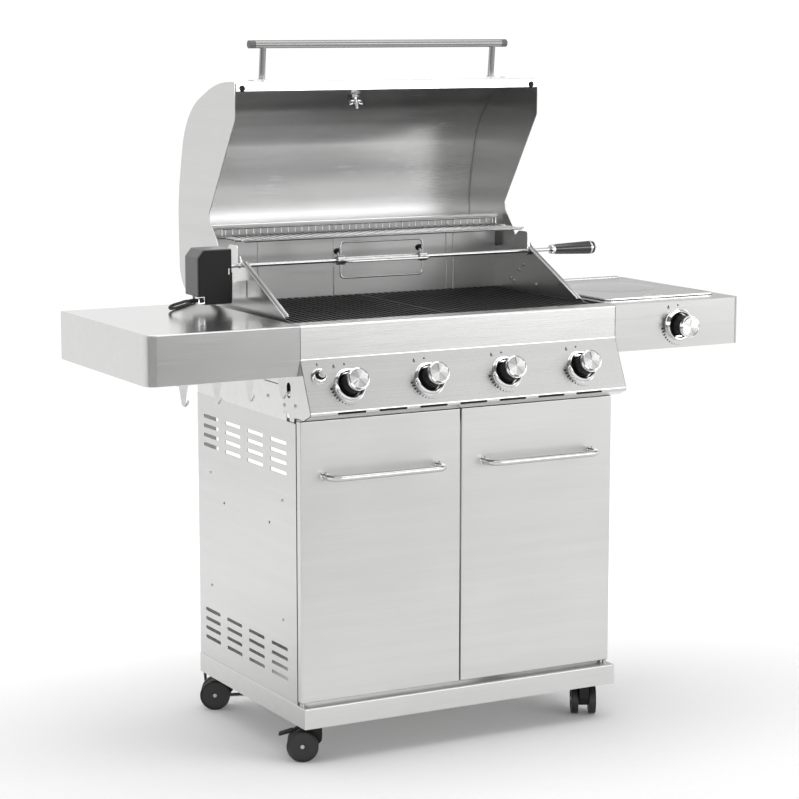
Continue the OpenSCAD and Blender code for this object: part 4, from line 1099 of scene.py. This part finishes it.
def make_motor():
    """The rotisserie motor: a chamfered case, its front cover, status window, socket, strain relief and mounting
    plate.
    """
    low, high = box("rotisserie_motor")
    plate_low, plate_high = box("motor_bracket")
    x0 = low.x + 9.2
    x1 = plate_low.x
    z0, z1 = low.z, high.z
    profile = [(x0, z0 + 17), (x0 + 15, z0 + 17), (x0 + 15, z0), (x1, z0), (x1, z1), (x0 + 13, z1),
               (x0, z1 - 16)]
    motor = Piece("motor_case", "cabinet", "black_plastic", "rotisserie_motor")
    case = put(raise_up(outline(profile), high.y - low.y - 4), at(0, high.y, 0) @ ON_FRONT)
    motor.add(soften(case, 2.2, [e for e in case.edges if e.calc_face_angle(0) > 0.3], 3), MOTOR_GREY)
    cover = [(x0 + 1.6, z0 + 18.8), (x0 + 16.4, z0 + 18.8), (x0 + 16.4, z0 + 1.6), (x1 - 1.6, z0 + 1.6),
             (x1 - 1.6, z1 - 1.6),
             (x0 + 13.6, z1 - 1.6), (x0 + 1.6, z1 - 16.6)]
    front = put(raise_up(outline(cover), 5.2), at(0, low.y + 5.2, 0) @ ON_FRONT)
    motor.add(soften(front, 1.6, [e for e in front.edges if e.calc_face_angle(0) > 0.3], 3), BLACK)
    # status window and the framed socket in the lower notch
    motor.add(block((x1 - 9, low.y - 0.2, z0 + 58), (x1 - 6.6, low.y + 1, z0 + 70), 0.3), DIAL_WHITE)
    motor.add(block((x0 + 1, low.y + 3, z0 + 3), (x0 + 14.6, low.y + 20, z0 + 16.6), 0.8), CHROME)
    motor.add(block((x0 + 3, low.y + 2.4, z0 + 5), (x0 + 12.6, low.y + 6, z0 + 14.6), 0.6), BLACK)
    # output boss round the spit's end
    boss = lathe([(4.3, -0.5), (10, -0.5), (12.5, 0.5), (12.5, 1.8), (4.3, 1.8)], 28)
    motor.add(put(boss, at(x1, SPIT.y, SPIT.z) @ turned(90, "Y")), BLACK)
    # tapered strain relief with rings
    exit_y, exit_z = CORD_ROUTE[0][1] + FRONT, CORD_ROUTE[0][2]
    relief = [(3.1, 24), (3.9, 24)]
    for k in range(6):
        h = 21 - 3.4 * k
        relief += [(4.0 + 0.32 * k, h + 1.4), (3.6 + 0.32 * k, h + 0.9), (3.6 + 0.32 * k, h - 0.5),
                   (4.15 + 0.32 * k, h - 1.2)]
    relief += [(6.2, 2), (6.2, 0), (3.1, 0)]
    motor.add(put(lathe(relief, 20), facing(-425, exit_y, exit_z, (-1, 0, 0))), BLACK)
    motor.make()
    bracket = Piece("motor_plate", "cabinet", "bright_sheet", "motor_bracket")
    wall = -(HALF - 15)
    y0, y1 = plate_low.y, plate_high.y
    stem_z = (z0 + 10, z0 + 44)
    bracket.add(block((x1, y0, plate_low.z), (x1 + 2, y1, plate_high.z), 0.5), BOX)
    bracket.add(block((x1, y0 + 2, stem_z[0]), (wall, y0 + 4, stem_z[1]), 0.5), BOX)
    bracket.add(block((wall - 2, y0 + 2, stem_z[0]), (wall, y1, stem_z[1]), 0.5), BOX)
    for y, z in ((y0 + 12, stem_z[0] + 7), (y0 + 12, stem_z[1] - 7)):
        bracket.add(put(hex_nut(8, 4), facing(wall - 2, y, z, (-1, 0, 0))), BOLT)
    bracket.make()


# ---------- lid ----------

HINGE = hinge_of("lid_hinge")
LID_OPEN = next(j for j in frame["joints"] if j["name"] == "lid_hinge")["range_deg"][1]
SWUNG = Matrix.Translation(HINGE) @ turned(-LID_OPEN, "X") @ Matrix.Translation(-HINGE)
LID_X = box("lid_ends")[1].x

# The closed lid's outside in section, as (back, up, radius) from the hinge.
LID_CORNERS = [(-380, -61, 0), (-373, 15, 300), (-290, 171, 150), (-107, 194, 400), (73, 169, 60),
               (85, 52, 0)]


def lid_line(steps=10):
    flat = [(u + HINGE.y, v + HINGE.z, 0) for u, v, r in LID_CORNERS]
    return rounded(flat, [r for u, v, r in LID_CORNERS], steps)


def make_lid():
    line = lid_line()
    skin = Piece("lid_shell", "lid", "bright_sheet", "lid_skin")
    lip = [Vector((line[0].x + 17, line[0].y - 2.5, 0)), Vector((line[0].x, line[0].y, 0))]
    section = rounded([lip[0], lip[1], *line[1:]], [0, 2.5] + [0] * (len(line) - 1), 4)
    # the outside and the inside are one sheet: its wall goes inwards
    shell = put(folded(section, 2 * (LID_X - SHEET), -SHEET), at(-LID_X + SHEET, 0, 0) @ ON_SIDE)
    skin.add(put(shell, SWUNG), LINER)
    # two stops inside, near each end, and their slots, drawn as thin black plates of painted shade
    top = Vector((line[0].x, line[0].y, 0))
    for x in (-288, -262, 262, 288):
        mark = at(x, top.x + 2.6, top.y + 46) @ ON_FRONT @ UPSIDE
        skin.add(put(raise_up(slot(0, 0, 13, 4.5), 0.3), SWUNG @ mark), SHADOW)
    for side in (LEFT, RIGHT):
        stop = lathe([(0, 0), (6.5, 0), (6.5, 5), (5.2, 7.4), (0, 8)], 20)
        skin.add(put(stop,
                     SWUNG @ facing(side * (LID_X - 14), top.x + 12, top.y - 2, (0, 0, -1)) @ at(0, 0,
                         -5)), BLACK)
    skin.make()


def make_lid_ends():
    """End caps with a pressed field inside a broad rim, and a rolled edge."""
    line = [(p.x, p.y) for p in lid_line(8)]
    hinge_y, hinge_z = HINGE.y, HINGE.z
    front = line[0]
    under = [(hinge_y + 81, hinge_z + 38), (hinge_y + 48, hinge_z - 14), (hinge_y + 20, hinge_z - 26),
             (hinge_y - 26, hinge_z - 26), (hinge_y - 56, hinge_z - 4), (hinge_y - 88, hinge_z + 32),
             (hinge_y - 104, hinge_z + 38), (hinge_y - 307, hinge_z - 68), (front[0] + 17, front[1] - 2)]
    ends = Piece("lid_end_caps", "lid", "bright_sheet", "lid_ends")
    for side in (LEFT, RIGHT):
        cap = outline(line + under)
        for thickness, depth in ((17.0, 0.0), (2.2, -3.4), (9.0, 0.0), (1.6, 1.2)):
            inner = max(cap.faces, key=lambda f: f.calc_area())
            bmesh.ops.inset_region(cap, faces=[inner], thickness=thickness, depth=depth,
                                   use_even_offset=True)
        solid = put(cap, at(side * LID_X, 0, 0) @ ON_SIDE)
        if side == LEFT:
            for vert in solid.verts:
                vert.co.x = -2 * LID_X - vert.co.x
        bmesh.ops.recalc_face_normals(solid, faces=solid.faces[:])
        if sum(f.normal.x * f.calc_area() for f in solid.faces) * side < 0:
            bmesh.ops.reverse_faces(solid, faces=solid.faces[:])
        bmesh.ops.solidify(solid, geom=solid.faces[:], thickness=SHEET)
        ends.add(put(solid, SWUNG), SHEET_Y)
        # rolled edge where the cap meets the skin
        roll = [Vector((side * (LID_X - 0.2), y, z)) for y, z in line]
        core = Vector((side * (LID_X - 0.2), hinge_y - 150, hinge_z + 60))
        roll = [point + (core - point).normalized() * 2.2 for point in roll]
        ends.add(put(wire(roll, 3.4, sides=3), SWUNG), SHEET_Y)
        bolt = facing(side * LID_X, hinge_y, hinge_z, (side, 0, 0))
        ends.add(put(cut_ring(11, 4.3, 1.4), SWUNG @ bolt), BOLT)
    ends.make()


def cut_ring(outer, inner, height):
    return raise_up(cut(disc(0, 0, outer, 28), disc(0, 0, inner, 20)), height)


def make_lid_handle():
    """The bar on its two posts, drawn closed and swung open with the lid."""
    bar_z = HINGE.z - 9
    base_y = HINGE.y - 377
    out = base_y - 70
    handle = Piece("lid_bar", "lid", "chrome_trim", "lid_handle")
    for side in (LEFT, RIGHT):
        post = side * 262
        handle.add(put(rod((post, base_y, bar_z), (post, out, bar_z), 13, 28), SWUNG), POST)
        handle.add(put(cut_ring(9.5, 6.4, 2.5), SWUNG @ facing(post, base_y + 1, bar_z, (0, -1, 0))),
                   CHROME)
        cap = lathe([(0, 0), (7.2, 0), (8.0, 1.0), (8.0, 12.6), (7.4, 13.4), (0, 13.4)], 28)
        handle.add(put(cap, SWUNG @ facing(side * 280.6, out, bar_z, (side, 0, 0))), MOTOR_GREY)
    handle.add(put(rod((-281, out, bar_z), (281, out, bar_z), 16, 36), SWUNG), BAR)
    handle.make()


def make_thermometer():
    """A dial gauge outside, and its stem, nut and guard inside the lid."""
    foot = Vector(LID_CORNERS[1][:2])
    head = Vector(LID_CORNERS[2][:2])
    back = math.atan2(head.x - foot.x, head.y - foot.y)
    gauge_z = 95.0
    spot = at(0, HINGE.y + foot.x + (gauge_z - foot.y) * math.tan(back), HINGE.z + gauge_z)
    place = SWUNG @ spot @ Matrix.Rotation(math.pi / 2 - back, 4, "X")
    gauge = Piece("lid_gauge", "lid", "chrome_trim", "thermometer")
    gauge.add(put(lathe([(0, 0.4), (30, 0.4), (31, 1.5), (31, 11), (30, 13.4), (28.4, 14), (27, 12.4),
                         (27, 11)], 56), place), CHROME)
    gauge.add(put(lathe([(27.1, 11.2), (0, 11.2)], 48), place), DIAL_WHITE)
    for k in range(25):
        angle = math.radians(225 - 270 * k / 24)
        long = 4.4 if k % 4 == 0 else 2.4
        tick = place @ at(0, 0, 11.25) @ Matrix.Rotation(angle, 4, "Z") @ at(24 - long / 2, 0, 0)
        gauge.add(put(raise_up(rectangle(-long / 2, long / 2, -0.4, 0.4), 0.12), tick), INK)
    needle = place @ at(0, 0, 11.5) @ Matrix.Rotation(math.radians(225), 4, "Z")
    gauge.add(put(raise_up(outline([(-5, -1.2), (18, -0.4), (18, 0.4), (-5, 1.2)]), 0.3), needle), INK)
    gauge.add(put(lathe([(0, 1.2), (2.4, 1.0), (2.6, 0)], 16), place @ at(0, 0, 11.5)), CHROME)
    gauge.add(put(rod((0, 0, -32), (0, 0, 1), 8.4, 20, 1), place), CHROME)
    gauge.add(put(hex_nut(20, 7), place @ at(0, 0, -9)), CHROME)
    gauge.add(put(cut_ring(14, 4.5, 1.2), place @ at(0, 0, -3.0)), BOLT)
    # wing nut that holds the gauge from inside
    for side in (LEFT, RIGHT):
        wing = [(side * 5, 0, -13), (side * 13, 0, -15), (side * 15, 0, -22), (side * 8, 0, -20),
                (side * 5, 0, -14)]
        gauge.add(put(wire(wing, 3.2, sides=3), place), CHROME)
    gauge.make()


# ---------- casters ----------

TRAIL = 24.0                            # how far the wheels trail behind the kingpin
AXLE = 31.0                             # the axle's height, and the wheels' radius


def caster_place(i):
    """A caster's kingpin and the turn of its axle."""
    turn = 61.6 if i % 2 else -28.4
    x = (-1 if i % 2 else 1) * (HALF - 42)
    y = FRONT + (8 if i < 3 else SIDE_HIGH.y - FRONT - 38)
    return at(x, y, 0) @ turned(turn, "Z")


def make_caster(i):
    place = caster_place(i)
    hood = Piece(f"caster_hood_{i}", f"swivel_{i}", "black_plastic", f"caster_{i}")
    side_view = [(-13, AXLE + 8), (-13, 68.5), (12, 68.5), (TRAIL + 20, AXLE + 22), (TRAIL + 12, AXLE - 8),
                 (TRAIL - 16, AXLE - 12)]
    core = put(raise_up(outline(side_view, (3, 3, 4, 5, 8, 8), 4), 19), at(-9.5, 0, 0) @ ON_SIDE)
    hood.add(core, BLACK)
    hood.add(put(lathe([(5.3, 64), (14, 64), (15, 65), (15, 71), (14.4, 71.9), (5.3, 71.9)], 36),
                 Matrix()), BLACK)
    hood.add(rod((-25.4, TRAIL, AXLE), (25.4, TRAIL, AXLE), 8, 20, 0.6), BOLT)
    put(hood.shape, place)
    hood.make()
    wheels = Piece(f"caster_wheels_{i}", f"wheel_pair_{i}", "caster_tyre", f"wheels_{i}")
    disc_line = [(0, 12.2), (26, 12.4), (27.4, 13.4), (29.6, 14.6), (30.6, 13.0), (30.9, 9), (30.9, 3.2),
                 (30.2, 0.6), (27, 0), (0, 0)]
    for side in (LEFT, RIGHT):
        spot = place @ at(side * 10.6, TRAIL, AXLE) @ turned(90 * side, "Y")
        wheels.add(put(lathe(disc_line, 56), spot), TYRE)
        for ring in (8, 12):
            wheels.add(put(lathe([(30.98, ring - 1.0), (30.98, ring - 0.4), (30.4, ring - 0.1),
                                  (30.98, ring + 0.2), (30.98, ring + 0.6)], 56), spot), TYRE)
    wheels.make()


def make_brake(i):
    place = caster_place(i)
    brake = Piece(f"brake_tab_{i}", f"brake_{i}", "black_plastic", f"brake_lever_{i}")
    profile = [(18, 25), (44, 17.5), (46.6, 18), (47, 21), (20, 30)]
    tab = put(raise_up(outline(profile, (0, 1, 1, 1, 2), 3), 16), at(-8, TRAIL, AXLE) @ ON_SIDE)
    brake.add(tab, BLACK)
    for k in range(4):
        y = TRAIL + 34 + 3 * k
        brake.add(put(rod((-6.5, y, 0), (6.5, y, 0), 1.2, 8),
                      at(0, 0, AXLE + AXLE - 2.2 - (34 + 3 * k - 20) * 0.345)), BLACK)
    put(brake.shape, place)
    brake.make()


# ---------- build everything ----------

make_base()
side_screws()
for part in ("left", "right"):
    make_door(part)
    make_door_handle(part)
make_control_panel()
make_marks()
make_dials()
for number, knob_turn in enumerate((128, 0, 0, 0, 0), 1):
    make_knob(number, knob_turn)
make_shelves()
make_hooks()
make_side_lid()
make_grates()
make_warming_rack()
make_box_trim()
make_spit()
make_spit_grip()
make_motor()
make_lid()
make_lid_ends()
make_lid_handle()
make_thermometer()
for number in range(1, 5):
    make_caster(number)
for number in (1, 2):
    make_brake(number)


def dress(finish, slot_name, *nodes):
    """Gives CAD nodes that stay visible their finish."""
    for name in nodes:
        thing = frame["nodes"][name]
        thing.data.materials.clear()
        thing.data.materials.append(finish)


dress(SHEET_Y, "brushed_sheet", "side_panel_left", "side_panel_right")
dress(SHEET_X, "brushed_sheet", "rear_frame", "front_rail", "firebox_front", "firebox_floor", "grease_tray")
dress(BOX, "bright_sheet", "firebox_sides")
dress(WALL, "bright_sheet", "firebox_rear")
dress(BOLT, "zinc_hardware", "mounting_hardware")
dress(DARK_STEEL, "brushed_sheet", "burner_tubes", "flame_tamers")
dress(BRASS, "gas_brass", "gas_manifold", *[f"valve_stem_{i}" for i in range(1, 6)])
dress(BURNER_IRON, "cast_iron", "side_burner")


# ---------- floor and light ----------

def studio_paper():
    """White paper, lit from below behind the object so that it meets the white room."""
    paper = Finish("studio_paper", Roughness=0.9, Specular_IOR_Level=0.0, Emission_Strength=1.0)
    fibre = paper.noise((40, 40, 40))
    back = paper.node("ShaderNodeSeparateXYZ", {}, {0: paper.place((1, 1, 1))}, 1)
    paper.feed("Base Color", paper.blend(fibre, (0.93, 0.93, 0.93), (0.96, 0.96, 0.96)))
    paper.feed("Emission Color",
               paper.blend(paper.span(back, -0.3, 1.4), (0.03, 0.03, 0.03), (0.3, 0.3, 0.3)))
    return paper.material


def make_stage():
    """A pale floor under the object and behind it."""
    shape = put(rectangle(-14000, 14000, -1600, 3500), Matrix.Scale(MM, 4))
    mesh = bpy.data.meshes.new("floor")
    shape.to_mesh(mesh)
    shape.free()
    mesh.materials.append(studio_paper())
    floor = bpy.data.objects.new("floor", mesh)
    bpy.context.scene.collection.objects.link(floor)


def soft_box(name, place, aim, size, power):
    light = bpy.data.lights.new(name, "AREA")
    light.shape = "RECTANGLE"
    light.size, light.size_y = size
    light.energy = power
    thing = bpy.data.objects.new(name, light)
    bpy.context.scene.collection.objects.link(thing)
    thing.location = place
    thing.rotation_euler = (Vector(aim) - Vector(place)).to_track_quat("-Z", "Y").to_euler()


def make_world():
    """A pale room: white behind the object, and a soft bright zone in front that starts at the cook's right."""
    world = bpy.data.worlds.new("studio")
    bpy.context.scene.world = world
    world.use_nodes = True
    room = Shading(world.node_tree)
    way = room.node("ShaderNodeTexCoord", {}, {}, "Generated")
    x, y, z = [room.node("ShaderNodeSeparateXYZ", {}, {0: way}, axis) for axis in "XYZ"]
    level = x.math("SQRT", x * x + y * y)
    sideways = (x * 0.766 - y * 0.643) / level
    glow = room.span(sideways, 0.88, 0.98)
    behind = room.span(y, -0.12, 0.3)
    below = room.span(0 - z, 0.13, 0.24)
    lamp = room.span(z, -0.05, 0.02) * (1 - room.span(z, 0.2, 0.36))
    right_back = room.span(x / level, 0.42, 0.56) * room.span(z, 0.03, 0.1)
    front = 0.14 + glow * 0.94
    front = front + below * (0.86 - front)
    front = front + lamp * (2.3 - front)
    rear = 1.03 - right_back * 0.42
    light = front + behind * (rear - front)
    sky = world.node_tree.nodes["Background"]
    world.node_tree.links.new(light.socket, sky.inputs["Color"])


make_stage()
make_world()
soft_box("lid", (1.95, -3.3, 1.3), (0.1, 0.2, 1.15), (2.6, 0.9), 18)
soft_box("top", (0, -0.4, 4.2), (0, 0, 0.6), (4.5, 3.5), 90)
bpy.context.scene.view_settings.view_transform = "Standard"
